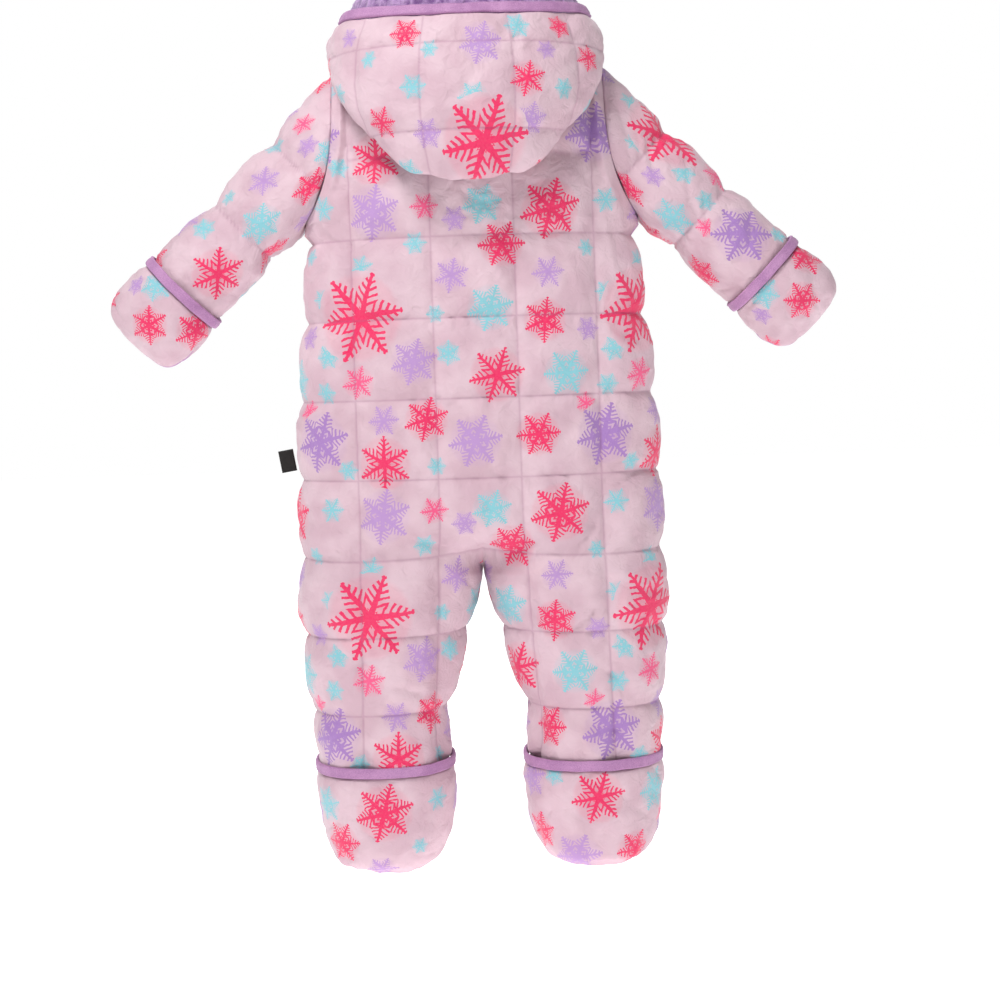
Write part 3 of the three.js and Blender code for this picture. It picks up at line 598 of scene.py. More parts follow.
def top_height(x, face):
    """Height of the shoulder seam at x, or of the neck seam where x is inside the neck."""
    share = np.abs(x) / NECK_HALF
    neck = NECK_SIDE - NECK_DROP[face] * (1 - share ** 2)
    shoulder = NECK_SIDE - SHOULDER_DROP * (np.abs(x) - NECK_HALF) / (SHOULDER_TIP - NECK_HALF)
    return np.where(share < 1, neck, shoulder)


def armhole_x(t):
    return SHOULDER_TIP + (CHEST_HALF - SHOULDER_TIP) * t ** 4


def yoke_depth(x, t, face):
    """Half depth of the yoke at x, a share t of the way from its top seam to the chest."""
    share = np.minimum(1, np.abs(x) / NECK_HALF)
    start = NECK_REACH[face] * np.sqrt(1 - share ** 2)
    rise = (1 - (1 - t) ** 3) ** 0.75
    return start + (CHEST_DEPTH * rounded(x / CHEST_HALF) - start) * rise


def yoke_slice(t, face):
    """Half slices of the yoke for an array of t: points out from the middle to the armhole."""
    q = np.linspace(0, 1, DENSE)[None, :]
    t = t[:, None]
    x = armhole_x(t) * np.sin(np.pi * q / 2)
    top = top_height(x, face)
    return np.stack([x, yoke_depth(x, t, face), top + (CHEST_Z - top) * t], -1)


def trunk_slice(z):
    """Half slices below the chest: the trunk's rounded section turning into a leg's as it goes down."""
    q = np.linspace(0, 1, DENSE)[None, :]
    z = z[:, None]
    outer, inner, depth = along(OUTER, z), along(INNER, z), along(DEPTH, z)
    part = np.clip((SEAT_Z - z) / (SEAT_Z - CROTCH_Z), 0, 1) ** 3
    g, c = np.sin(np.pi * q / 2), np.cos(np.pi * q)
    middle = (outer + inner) / 2
    x = (1 - part) * outer * g + part * (middle - (outer - middle) * c)
    y = (1 - part) * depth * rounded(g) + part * depth * rounded(c)
    return np.stack([x, y, z + 0 * x], -1)


# %% Rows and columns that gather at the stitched lines
def gathered(count):
    """Shares from 0 to 1, closest together at both ends."""
    u = np.linspace(0, 1, count + 1)
    return 0.45 * u + 0.55 * (1 - np.cos(np.pi * u)) / 2


def trunk_rows(step_count):
    """Heights from the chest to the leg's end, gathered at each quilting line."""
    lines = [FIRST_ROW - k * ROW_PITCH for k in range(0, 9)]
    stops = [CHEST_Z] + [z for z in lines if LEG_END_Z < z < CHEST_Z - 5] + [CROTCH_Z, -606, LEG_END_Z]
    stops = sorted(set(stops), reverse=True)
    heights = [np.array([stops[0]])]
    for high, low in zip(stops, stops[1:]):
        count = max(3, round(step_count * (high - low) / ROW_PITCH))
        heights.append(high + (low - high) * gathered(count)[1:])
    return np.concatenate(heights)


def columns_of(slices, counts):
    """Walk each half slice by its length; return points and lengths at columns gathered at the lines."""
    step = np.linalg.norm(np.diff(slices, axis=1), axis=-1)
    length = np.concatenate([np.zeros((len(slices), 1)), np.cumsum(step, 1)], 1)
    points, lengths, marks = [], [], []
    for row, run in zip(slices, length):
        z = row[:, 2].min()
        down = smooth(CROTCH_Z, LEG_END_Z, z)
        lines = [np.interp(a + (b - a) * down, row[:, 0], run) for a, b in COLUMN_LINES]
        stops = [0.0, lines[0], lines[1], run[-1]]
        walk = np.concatenate([[0.0]] + [low + (high - low) * gathered(n)[1:]
                                         for low, high, n in zip(stops, stops[1:], counts)])
        points.append(np.stack([np.interp(walk, run, row[:, k]) for k in range(3)], -1))
        lengths.append(walk)
        marks.append(stops)
    return np.array(points), np.array(lengths), np.array(marks)


def pillow(distance, reach=27.0):
    """Height of the padding at a distance from a stitched line: 0 on it, 1 from `reach` outwards."""
    return 1 - (1 - np.clip(distance / reach, 0, 1)) ** 2.3


PUFF = 7.0                # depth of a stitched valley below the crest of its pillows
EDGE_PUFF = 2.8           # the same along a seam


def pad(points, quads, across, down, edge, seed, steer=None, puff=None, crest=0.0):
    """Move a surface out to its padded form.

    across, down and edge are distances to the nearest stitched column, row and seam. The padding is
    the product of a pillow profile in each; puckers run across a line and fade within 14 mm of it, and
    slack creases wander over the crests.
    """
    normal = normals_of(points, quads)
    if steer is not None:
        normal = steer(points, normal)
    puff = PUFF if puff is None else puff
    height = pillow(across) * pillow(down) * puff - puff + crest
    height += (pillow(edge, 16) - 1) * EDGE_PUFF * pillow(np.minimum(across, down), 12)
    flat = points * np.array([1.0, 1.0, 0.12])
    upright = points * np.array([0.12, 0.12, 1.0])
    calm = smooth(0.0, 5.0, edge)
    height += calm * 1.25 * ripples(flat, 9.5, seed) * np.exp(-(down / 12) ** 1.5) * smooth(0, 3, down)
    height += (calm * 0.8 * ripples(upright, 11, seed + 1) * np.exp(-(across / 10) ** 1.5)
               * smooth(0, 3, across))
    slack = ripples(points, 48, seed + 2)
    fold = (1 - np.abs(ripples(points, 62, seed + 3))) ** 6
    height += calm * (1.1 * slack - 1.5 * fold) * pillow(np.minimum(across, down), 18)
    height += calm * 0.5 * ripples(points, 15, seed + 4)
    line = np.exp(-(np.minimum(np.minimum(across, down), edge + 0.4) / 0.9) ** 2)
    return points + normal * height[:, None], line


def creased(points, creases):
    """Soft troughs, given one by one: each runs from (x, z) to (x, z) with a depth, and fades at its ends."""
    depth = np.zeros(len(points))
    flat = points[:, [0, 2]]
    for x1, z1, x2, z2, deep in creases:
        start, way = np.array([x1, z1]), np.array([x2 - x1, z2 - z1])
        length = np.hypot(*way)
        way = way / length
        ahead = (flat - start) @ way / length
        aside = (flat - start) @ np.array([-way[1], way[0]]) - 2.5 * np.sin(np.pi * ahead)
        fade = smooth(-0.15, 0.35, ahead) * smooth(1.15, 0.65, ahead)
        depth -= deep * fade * np.exp(-(aside / 3.0) ** 2)
        depth += 0.45 * deep * fade * np.exp(-((aside - 6) / 4.0) ** 2)
    return depth


def nearest(value, lines):
    return np.min(np.abs(value[..., None] - np.asarray(lines)), axis=-1)


ROW_LINES = [FIRST_ROW - k * ROW_PITCH for k in range(8)]

# %% One face of the body
BACK_COUNTS, ROW_STEPS = (14, 24, 24), 25               # grid steps between stitched lines
FRONT_COUNTS, FRONT_ROW_STEPS = (12, 18, 18), 19


def half_face(face, counts, row_steps):
    """Points, lengths across and stitched marks for half a face, top to bottom, with the crotch's row."""
    t = np.linspace(0, 1, round(row_steps * 2.1))
    yoke = yoke_slice(t, face)
    heights = trunk_rows(row_steps)[1:]
    trunk = trunk_slice(heights)
    slices = np.concatenate([yoke, trunk])
    slices[..., 1] = face * (SEAM / 2 + slices[..., 1])
    points, lengths, marks = columns_of(slices, counts)
    split = int(np.argmin(np.abs(np.concatenate([t * 0, heights]) - CROTCH_Z)))
    return points, lengths, marks, split, len(t)


ARM_CENTRE = np.array([122.0, 0, -78])


def arm_steer(points, normal):
    """At the armhole both sides of the seam move straight away from the arm's middle, square to x."""
    top = top_height(SHOULDER_TIP, 1)
    t = np.clip((points[:, 2] - top) / (CHEST_Z - top), 0, 1)
    beside = np.abs(np.abs(points[:, 0]) - armhole_x(t) - 0.2)
    near = (1 - smooth(0.5, 12.0, beside)) * (points[:, 2] > CHEST_Z - 12)
    away = (points - ARM_CENTRE * np.array([0, 1, 1])) * np.array([0, 1.0, 1.0])
    away /= np.maximum(np.linalg.norm(away, axis=1, keepdims=True), 1e-9)
    return normal * (1 - near[:, None]) + away * near[:, None]


def steer_for(gap):
    """Keep the way out square to the seams, so that both sides of a seam move together."""
    def steer(points, normal):
        near = 1 - smooth(0.5, 5.0, np.abs(points[:, 1]))
        normal = arm_steer(points, normal)
        normal[:, 2] *= 1 - 0.95 * np.exp(-((points[:, 2] - CROTCH_Z) / 14) ** 2)
        normal[:, 1] *= 1 - near
        if gap:
            middle = np.abs(points[:, 0]) < gap + 0.6
            normal[middle, 0] = 0
        size = np.linalg.norm(normal, axis=1, keepdims=True)
        return normal / np.maximum(size, 1e-9)
    return steer


def body_fields(points, lengths, marks, yoke_rows, face):
    """Distances to the nearest stitched column, row and seam for a half face, as flat arrays."""
    inner, outer, side = (marks[:, k:k + 1] for k in (1, 2, 3))
    across = np.minimum(np.abs(lengths - inner), np.abs(lengths - outer))
    down = nearest(points[..., 2], ROW_LINES)
    z = points[..., 2]
    to_side = side - lengths
    legs = smooth(CROTCH_Z + 34, CROTCH_Z - 6, z)
    to_middle = np.where(legs > 0, lengths + (1 - legs) * 60, 60)
    to_top = np.full_like(z, 80.0)
    top = top_height(points[..., 0], face)
    to_top[:yoke_rows] = (top - z)[:yoke_rows]
    edge = np.minimum(np.minimum(to_side, to_middle), to_top)
    unstitched = 60 * smooth(14, 0, to_side) * smooth(CHEST_Z - 10, CHEST_Z, z)
    return across + unstitched, down + unstitched, np.maximum(edge, 0)


def hem_flare(z):
    """The legs fill out again at their ends, to meet the foot covers' bindings."""
    return 2.6 * smooth(-580, -603, z)


# Creases listed for the back: from (x, z) to (x, z), then depth
BACK_CREASES = [
    (-77, -420, -98, -396, 2.6), (-70, -490, -98, -466, 2.6), (-120, -545, -88, -520, 2.2),
    (-60, -300, -92, -318, 1.6), (20, -428, 62, -408, 2.2), (-16, -428, -52, -410, 2.2),
    (70, -505, 118, -520, 1.8), (96, -455, 135, -438, 1.8), (48, -545, 88, -532, 1.8),
    (110, -300, 142, -322, 1.8), (118, -238, 146, -252, 1.6), (-112, -232, -142, -252, 2.0),
    (-108, -372, -150, -350, 2.2), (100, -372, 148, -384, 1.8), (-40, -250, -64, -238, 1.3),
    (44, -340, 80, -330, 1.3), (-118, -585, -80, -572, 1.8), (60, -590, 104, -580, 1.8),
    (12, -200, 30, -186, 1.3), (-20, -180, -44, -192, 1.5), (120, -176, 138, -196, 1.8),
    (-120, -178, -140, -200, 1.8), (-8, -350, -30, -362, 1.3), (8, -290, 26, -302, 1.2),
]
FRONT_CREASES = [(side * x1, z1, side * x2, z2, deep) for side in (1, -1)
                 for x1, z1, x2, z2, deep in BACK_CREASES[::2] if abs(x1) > 20 and x1 * x2 > 0 and x1 < 0]


PRINT_START = (98, -222)          # where the big flake sits on the back: across and up


def build_back():
    """The back panel: the half face and its mirror image, split in two below the crotch."""
    points, lengths, marks, split, yoke_rows = half_face(1, BACK_COUNTS, ROW_STEPS)
    columns = lengths.shape[1]
    across, down, edge = body_fields(points, lengths, marks, yoke_rows, 1)
    flip = np.array([-1.0, 1.0, 1.0])
    full = lambda field: np.concatenate([field[:, :0:-1], field], 1)
    trunk_points = np.concatenate([(points * flip)[:, :0:-1], points], 1)[:split + 1]
    trunk_count = (split + 1) * (2 * columns - 1)
    leg = points[split + 1:]
    leg_rows = len(leg)
    parts = (trunk_points, leg * flip, leg)
    all_points = np.concatenate([part.reshape(-1, 3) for part in parts])
    pick = lambda field: np.concatenate([full(field)[:split + 1].ravel(), field[split + 1:].ravel(),
                                         field[split + 1:].ravel()])
    sign_full = np.concatenate([-np.ones(columns - 1), np.ones(columns)])
    printed = lengths - marks[:, 1:2] + COLUMN_LINES[0][0]
    signed = np.concatenate([(full(printed) * sign_full)[:split + 1].ravel(), -printed[split + 1:].ravel(),
                             printed[split + 1:].ravel()])
    quads = [grid_quads(split + 1, 2 * columns - 1)]
    last = split * (2 * columns - 1)
    middle = last + columns - 1
    right_top = np.arange(middle, last - 1, -1)
    left_top = np.arange(middle, middle + columns)
    legs = ((right_top, trunk_count, True), (left_top, trunk_count + leg_rows * columns, False))
    for top, start, turn in legs:
        first = np.arange(start, start + columns)
        join = np.stack([top[:-1], first[:-1], first[1:], top[1:]], -1)
        body = grid_quads(leg_rows, columns, first=start)
        both = np.concatenate([join, body])
        quads.append(both[:, ::-1] if turn else both)
    quads = np.concatenate(quads)[:, ::-1]
    line_away = (pick(across), pick(down), pick(edge))
    moved, line = pad(all_points, quads, *line_away, seed=11, steer=steer_for(0),
                      crest=hem_flare(all_points[:, 2]) + creased(all_points, BACK_CREASES))
    uv = np.stack([PRINT_START[0] - signed, PRINT_START[1] - all_points[:, 2]], -1)
    piece = make_piece("back_cloth", moved, quads, PRINTED, uv=uv[quads].reshape(-1, 2),
                       values={"line": line}, inner=INSIDE, thickness=CLOTH_THICK)
    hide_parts("back_panel")
    print("back:", len(quads), "quads")
    return piece


ZIP_SLOT = 4


def build_front(side, name, seed):
    """One front panel: the zip's edge runs down the middle and the leg closes on its own inner seam."""
    points, lengths, marks, _, yoke_rows = half_face(-1, FRONT_COUNTS, FRONT_ROW_STEPS)
    heights = points[:, :1, 2]
    slot = np.where(heights > FIRST_ROW - 4.5 * ROW_PITCH - 1, ZIP_SLOT, SEAM / 2)
    points = points.copy()
    points[..., 0] = np.maximum(points[..., 0], slot * (heights > CROTCH_Z - 1))
    across, down, edge = body_fields(points, lengths, marks, yoke_rows, -1)
    on_trunk = heights > CROTCH_Z
    edge = np.where(on_trunk, np.minimum(edge, np.maximum(points[..., 0] - slot, 0)), edge)
    rows, columns = lengths.shape
    points = points * np.array([side, 1.0, 1.0])
    quads = grid_quads(rows, columns)
    if side < 0:
        quads = quads[:, ::-1]
    flat = points.reshape(-1, 3)
    moved, line = pad(flat, quads, across.ravel(), down.ravel(), edge.ravel(), seed=seed,
                      steer=steer_for(ZIP_SLOT),
                      crest=hem_flare(flat[:, 2]) + creased(flat, FRONT_CREASES) * smooth(0, 8, edge.ravel()))
    printed = lengths - marks[:, 1:2] + COLUMN_LINES[0][0]
    uv = np.stack([side * printed.ravel() + 40 * side, PRINT_START[1] - flat[:, 2] + 60], -1)
    piece = make_piece(name, moved, quads, PRINTED, uv=uv[quads].reshape(-1, 2), values={"line": line},
                       inner=INSIDE, thickness=CLOTH_THICK)
    print(name, len(quads), "quads")
    return piece


build_back()
for side, word, seed in ((1, "left", 21), (-1, "right", 31)):
    build_front(side, f"front_cloth_{word}", seed)
    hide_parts(f"front_{word}")

# %% [markdown]
# ## Sleeves and mitts
# A sleeve is a straight loft from the armhole to a ring square to the arm. A turned tube would do, but
# the armhole is not square to the sleeve, so each row is a share of the way between the two rings.
# The mitt is a bag over the sleeve's end, flat at its tip, where its turned edge shows.

# %% Sleeve and mitt surfaces
SLOPE = math.radians(44)
ALONG = np.array([math.cos(SLOPE), 0, -math.sin(SLOPE)])
ACROSS = np.array([math.sin(SLOPE), 0, math.cos(SLOPE)])
SLEEVE_OFFSET = 33
SLEEVE_LINES = (170, 241)
WRIST_AT, SLEEVE_END_AT = 306, 325
WRIST, SLEEVE_END = (37.5, 32), (34, 28.5)
MITT = [(318.8, 40.3, 35), (330, 41, 34.5), (345, 41, 31), (358, 39.5, 25), (368, 35, 17),
        (374.5, 27, 10), (378, 15, 5.5)]      # distance down the arm, half width, half depth
MITT_TIP = 379


def sleeve_ring(distance, half, depth, angle):
    """Points of rings square to the sleeve: half width across, depth front to back, angle from the top."""
    centre = distance[..., None] * ALONG + SLEEVE_OFFSET * ACROSS
    across = (half * np.cos(angle))[..., None] * ACROSS
    return centre + across + (depth * np.sin(angle))[..., None] * np.array([0, 1.0, 0])


def armhole_edge(angle):
    """The armhole by angle from its top: down the back for the first half turn and up the front."""
    t = (1 - np.cos(angle)) / 2
    x = armhole_x(t)
    edge = []
    for face, part in ((1, angle <= np.pi), (-1, angle > np.pi)):
        top = top_height(x, face)
        y = face * (SEAM / 2 + yoke_depth(x, t, face)) * np.clip(np.sin(angle) ** 2 * 400, 0, 1)
        edge.append(np.where(part[:, None], np.stack([x + 0.15, y, top + (CHEST_Z - top) * t - 0.1], -1), 0))
    return edge[0] + edge[1]


def ring_uv(uv, rows, columns):
    """Per-corner places for a closed grid whose uv has one column more than its points."""
    r, c = np.meshgrid(np.arange(rows - 1), np.arange(columns), indexing="ij")
    corners = [(r, c), (r + 1, c), (r + 1, c + 1), (r, c + 1)]
    return np.stack([uv[a, b] for a, b in corners], 2).reshape(-1, 4, 2)


def build_tube(name, points, uv, across, down, edge, seed, side, material, thickness=CLOTH_THICK,
               cap=None, steer=None):
    """A ring-shaped piece: pad it, close its far end if it has a cap, and mirror it for the right side."""
    rows, columns = points.shape[:2]
    points = points * np.array([side, 1.0, 1.0])
    quads = grid_quads(rows, columns, ring=True)
    corner_uv = ring_uv(uv, rows, columns)
    flat = points.reshape(-1, 3)
    centres = np.repeat(points.mean(1), columns, 0)
    turned = np.sum(normals_of(flat, quads) * (flat - centres)) < 0
    if turned:
        quads, corner_uv = quads[:, ::-1], corner_uv[:, ::-1]
    moved, line = pad(flat, quads, across.ravel(), down.ravel(), edge.ravel(), seed=seed, steer=steer)
    faces = quads.tolist()
    corner_uv = corner_uv.reshape(-1, 2)
    if cap is not None:
        moved = np.concatenate([moved, [np.array(cap) * (side, 1, 1)]])
        line = np.append(line, 0)
        first = (rows - 1) * columns
        fan = [(first + c, len(moved) - 1, first + (c + 1) % columns) for c in range(columns)]
        faces += [f[::-1] for f in fan] if turned else fan
        corner_uv = np.concatenate([corner_uv, np.repeat(uv[-1:, 0], 3 * columns, 0)])
        piece = make_piece(name, moved, faces, material, uv=corner_uv, values={"line": line}, inner=INSIDE,
                           thickness=thickness)
    else:
        piece = make_piece(name, moved, quads, material, uv=corner_uv, values={"line": line}, inner=INSIDE,
                           thickness=thickness)
    print(name, len(faces), "faces")
    return piece


def walked(points):
    """Length round each ring from its first column, with the closing column added."""
    closed = np.concatenate([points, points[:, :1]], 1)
    step = np.linalg.norm(np.diff(closed, axis=1), axis=-1)
    return np.concatenate([np.zeros((len(points), 1)), np.cumsum(step, 1)], 1)


SLEEVE_COLUMNS = 112
# where the print sits: repeat's place, distance down the arm and shift towards the sleeve's top
SLEEVE_PRINT = {"left": ((111, -4), 225, -10, 1), "right": ((206, 103), 276, 10.6, -1)}


def build_sleeve(side, word, seed):
    angle = np.linspace(0, 2 * np.pi, SLEEVE_COLUMNS, endpoint=False)
    start = armhole_edge(angle)
    finish = sleeve_ring(np.full_like(angle, WRIST_AT), WRIST[0], WRIST[1], angle)
    share = np.linspace(0, 1, 92)[:, None, None]
    lofted = start * (1 - share) + finish * share
    cuff = [sleeve_ring(np.full_like(angle, WRIST_AT + (SLEEVE_END_AT - WRIST_AT) * s),
                        SLEEVE_END[0] + 1 - s, SLEEVE_END[1] + 1 - s, angle) for s in (0.3, 0.6, 1.0)]
    points = np.concatenate([lofted, np.array(cuff)])
    distance = points @ ALONG
    ring = walked(points)
    quarter = ring[:, SLEEVE_COLUMNS // 4][:, None]
    (right, drop), at, shift, turn = SLEEVE_PRINT[word]
    round_back = (ring - quarter) * turn
    along_arm = np.concatenate([distance, distance[:, :1]], 1)
    uv = np.stack([right + round_back + shift * turn, drop + along_arm - at], -1)
    down = nearest(distance, SLEEVE_LINES)
    seam = np.linalg.norm(points - points[:1], axis=-1)
    edge = seam + 0 * distance
    piece = build_tube(f"sleeve_cloth_{word}", points, uv, np.full_like(down, FAR), down, edge, seed,
                       side, PRINTED, steer=arm_steer)
    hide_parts(f"sleeve_{word}")
    return piece


def paint_edge(piece):
    """Give the mitt's turned edge, which runs round its flat end, the binding's material."""
    mesh = piece.data
    mesh.materials.append(BINDING)
    mesh.materials.append(INSIDE)
    centres = np.empty(len(mesh.polygons) * 3)
    mesh.polygons.foreach_get("center", centres)
    centres = np.abs(centres.reshape(-1, 3)) / MM * np.array([1, 1, -1])
    at = centres @ ALONG
    edge = centres[:, 1] < EDGE_HALF * smooth(340, 352, at)
    mesh.polygons.foreach_set("material_index", np.where(edge, 2, 0).astype(np.int32))


EDGE_HALF = 2.6           # half the width of the mitt's turned edge


def build_mitt(side, word, seed):
    angle = np.linspace(0, 2 * np.pi, 96, endpoint=False)
    at = np.concatenate([np.linspace(MITT[0][0], 366, 30), np.linspace(367, MITT[-1][0], 14)])
    half = along([(m[0], m[1]) for m in MITT], at)
    depth = along([(m[0], m[2]) for m in MITT], at)
    turns = angle[None, :] + 0 * at[:, None]
    points = sleeve_ring(at[:, None] + 0 * angle, half[:, None], depth[:, None], turns)
    ring = walked(points)
    quarter = ring[:, 24][:, None]
    distance = np.repeat(at[:, None] - 311, 97, 1)
    uv = np.stack([(ring - quarter) * (1 if word == "left" else -1), distance], -1)
    plain = np.full(points.shape[:2], FAR)
    edge = np.minimum(at - MITT[0][0], (MITT_TIP - at) * 1.5)[:, None] + plain * 0
    tip = ALONG * (MITT_TIP - 3.0) + ACROSS * SLEEVE_OFFSET
    piece = build_tube(f"mitt_cloth_{word}", points, uv, plain, plain, edge, seed, side, MITT_PRINT, 2.0, tip)
    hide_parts(f"mitt_{word}")
    paint_edge(piece)
    return piece


for side, word, seed in ((1, "left", 41), (-1, "right", 46)):
    build_sleeve(side, word, seed)
for side, word, seed in ((1, "left", 51), (-1, "right", 56)):
    build_mitt(side, word, seed)

# %% [markdown]
# ## Foot covers
# A foot cover is a bag with a modest toe: rings that shift forward and close at the sole. Its lower
# edge is gathered into the sole, so short puckers climb from there.

# %% Foot surface
FOOT = [(-611.3, 61, 57, 0), (-624, 61.5, 61, -4), (-642, 60.5, 66, -9), (-662, 57.5, 68, -12),
        (-680, 52, 65, -12), (-692, 44, 57, -11), (-699.5, 32, 43, -10)]
SOLE_Z, FOOT_X = -703, 91
FOOT_PRINT = {"left": (164, 166.5, -640), "right": (115, 51, -633)}


def build_foot(side, word, seed):
    angle = np.linspace(0, 2 * np.pi, 128, endpoint=False)
    z = np.concatenate([np.linspace(FOOT[0][0], -680, 34), np.linspace(-682, FOOT[-1][0], 16)])
    half, depth, shift = (along([(f[0], f[k]) for f in FOOT], z)[:, None] for k in (1, 2, 3))
    c, s = np.cos(angle)[None, :], np.sin(angle)[None, :]
    square = 1 / (np.abs(c) ** ROUNDNESS + np.abs(s) ** ROUNDNESS) ** (1 / ROUNDNESS)
    points = np.stack([FOOT_X + half * c * square, shift + depth * s * square, z[:, None] + 0 * half * c], -1)
    ring = walked(points)
    quarter = ring[:, 32][:, None]
    right, down_start, at = FOOT_PRINT[word]
    uv = np.stack([right + (ring - quarter) * side, down_start + at - np.repeat(z[:, None], 129, 1)], -1)
    plain = np.full(points.shape[:2], FAR)
    edge = np.minimum(FOOT[0][0] - z, 60)[:, None] + plain * 0
    gather = 1.3 * np.exp(-((z[:, None] + 692) / 9) ** 2)
    tucks = ripples(np.stack([np.cos(angle) * 60, np.sin(angle) * 60], -1), 13, seed + 9)
    points[..., :2] *= (1 + gather * tucks[None, :] / 60)[..., None]
    piece = build_tube(f"foot_cloth_{word}", points, uv, plain, plain, edge, seed, side, PRINTED, CLOTH_THICK,
                       (FOOT_X, FOOT[-1][3], SOLE_Z))
    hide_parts(f"foot_{word}")
    return piece


for side, word, seed in ((1, "left", 61), (-1, "right", 66)):
    build_foot(side, word, seed)

# %% [markdown]
# ## Hood
# The hood hangs down the back as a pouch. Its cloth starts at the neck seam, goes up over a soft fold,
# down inside, round the bottom and up again to the bound edge. Each run is a smooth curve through
# eight points that change with the angle round the neck, so one grid makes the whole hood.

# %% Hood grid
HOOD_ANGLES = np.array([0, 30, 60, 90, 120, 150, 176])
HOOD_RUNS = np.array([
    [[64, 34], [79, -8], [77, -66], [88, -113], [107, -68], [105, -18], [93, 15]],
    [[69, 35], [85, -6], [84, -62], [94, -106], [113, -62], [111, -16], [99, 16]],
    [[77, 37], [96, -4], [99, -32], [106, -59], [119, -38], [118, -8], [108, 20]],
    [[80, 38], [93, 14], [98, 3], [105, -2], [113, 3], [115, 13], [106, 25]],
    [[67, 42], [73, 40], [78, 33], [83, 27], [91, 27], [95, 34], [91, 42]],
    [[57, 26], [62, 36], [65, 39], [69, 41], [72, 44], [73, 48], [72, 52]],
    [[53, 10], [56, 22], [58, 30], [60, 37], [61, 43], [62, 48], [62, 53]],
], float)
BACKING, FUR, FOLD_PLACE, FOLD_END = 3.3, 8, 1.3, 2.2
PILE_IN_POUCH = [(0, 0.3), (35, 0.3), (52, 0.13), (165, 0.13), (176, 0.3)]
HOOD_COLUMN_LINES = (-110, -80, -50, -20, 20, 50, 80, 110)
HOOD_ROW_LINES = (-8, -77)
HOOD_PUFF, HOOD_CREST, HOOD_THICK = 3.6, 2.6, 1.8


def through(points, k):
    """Smooth curve through evenly numbered points (on axis 0) at places k."""
    last = len(points) - 1
    i = np.clip(np.floor(k).astype(int), 0, last - 1)
    t = (k - i).reshape(-1, *[1] * (points.ndim - 1))
    a, b, c, d = (points[np.clip(i + n, 0, last)] for n in (-1, 0, 1, 2))
    return b + 0.5 * t * (c - a + t * (2 * a - 5 * b + 4 * c - d + t * (3 * (b - c) + d - a)))


def hood_runs(angle):
    """Control points of the run at each angle (radians): neck seam first."""
    degrees = np.abs(np.degrees(angle))
    k = np.clip(np.searchsorted(HOOD_ANGLES, degrees, side="left") - 1, 0, len(HOOD_ANGLES) - 2)
    place = k + (degrees - HOOD_ANGLES[k]) / (HOOD_ANGLES[k + 1] - HOOD_ANGLES[k])
    rest = through(HOOD_RUNS, place)
    reach = np.where(np.cos(angle) > 0, NECK_REACH[1], NECK_REACH[-1])
    radius = 1 / np.hypot(np.sin(angle) / NECK_HALF, np.cos(angle) / reach)
    x = radius * np.sin(angle)
    z = np.where(np.cos(angle) > 0, top_height(x, 1), top_height(x, -1)) + SEAM + 0.6
    return np.concatenate([np.stack([radius, z], -1)[:, None], rest], 1)


def hood_places(angle, places):
    """Radius and height of the hood's outer face at places along each run, and the way to the lining."""
    at, way = [], []
    for run, k in zip(hood_runs(angle), places):
        dense = np.clip(k, 0, len(run) - 1)
        at.append(through(run, dense))
        ahead = through(run, np.minimum(dense + 0.04, len(run) - 1))
        behind = through(run, np.maximum(dense - 0.04, 0))
        step = ahead - behind
        step /= np.maximum(np.linalg.norm(step, axis=-1, keepdims=True), 1e-9)
        way.append(np.stack([-step[:, 1], step[:, 0]], -1))
    return np.array(at), np.array(way)


def polar(angle, at):
    radius = at[..., 0]
    return np.stack([radius * np.sin(angle)[:, None], radius * np.cos(angle)[:, None], at[..., 1]], -1)


def even_places(angle, count):
    """Places along each run, even by length, gathered where the run crosses a quilting row outside."""
    dense = np.linspace(0, 7, 700)
    at, _ = hood_places(angle, np.repeat(dense[None], len(angle), 0))
    step = np.linalg.norm(np.diff(at, axis=1), axis=-1)
    run = np.concatenate([np.zeros((len(angle), 1)), np.cumsum(step, 1)], 1)
    places, lengths = [], []
    outside = dense >= 4
    for row, length in zip(at, run):
        stops = [0, np.interp(1.15, dense, length), np.interp(4, dense, length)]
        z = row[outside, 1]
        for line in sorted(HOOD_ROW_LINES):
            k = np.interp(line, np.maximum.accumulate(z), length[outside])
            stops.append(max(k, stops[-1] + 2))
        stops.append(length[-1])
        stops = np.minimum.accumulate(np.array(stops)[::-1])[::-1]
        shares = (0.15, 0.3, 0.1, 0.27, 0.18)
        counts = [round(count * s) for s in shares]
        walk = np.concatenate([[0]] + [a + (b - a) * gathered(n)[1:]
                                       for a, b, n in zip(stops, stops[1:], counts)])
        places.append(np.interp(walk, length, dense))
        lengths.append(walk)
    return np.array(places), np.array(lengths)


def hood_turn(per_degree):
    """Angles from one end of the hood to the other, gathered at its stitched columns."""
    stops = [-176, *HOOD_COLUMN_LINES, 176]
    angles = [np.array([stops[0]])]
    for low, high in zip(stops, stops[1:]):
        angles.append(low + (high - low) * gathered(round((high - low) * per_degree))[1:])
    return np.radians(np.concatenate(angles)[::-1])


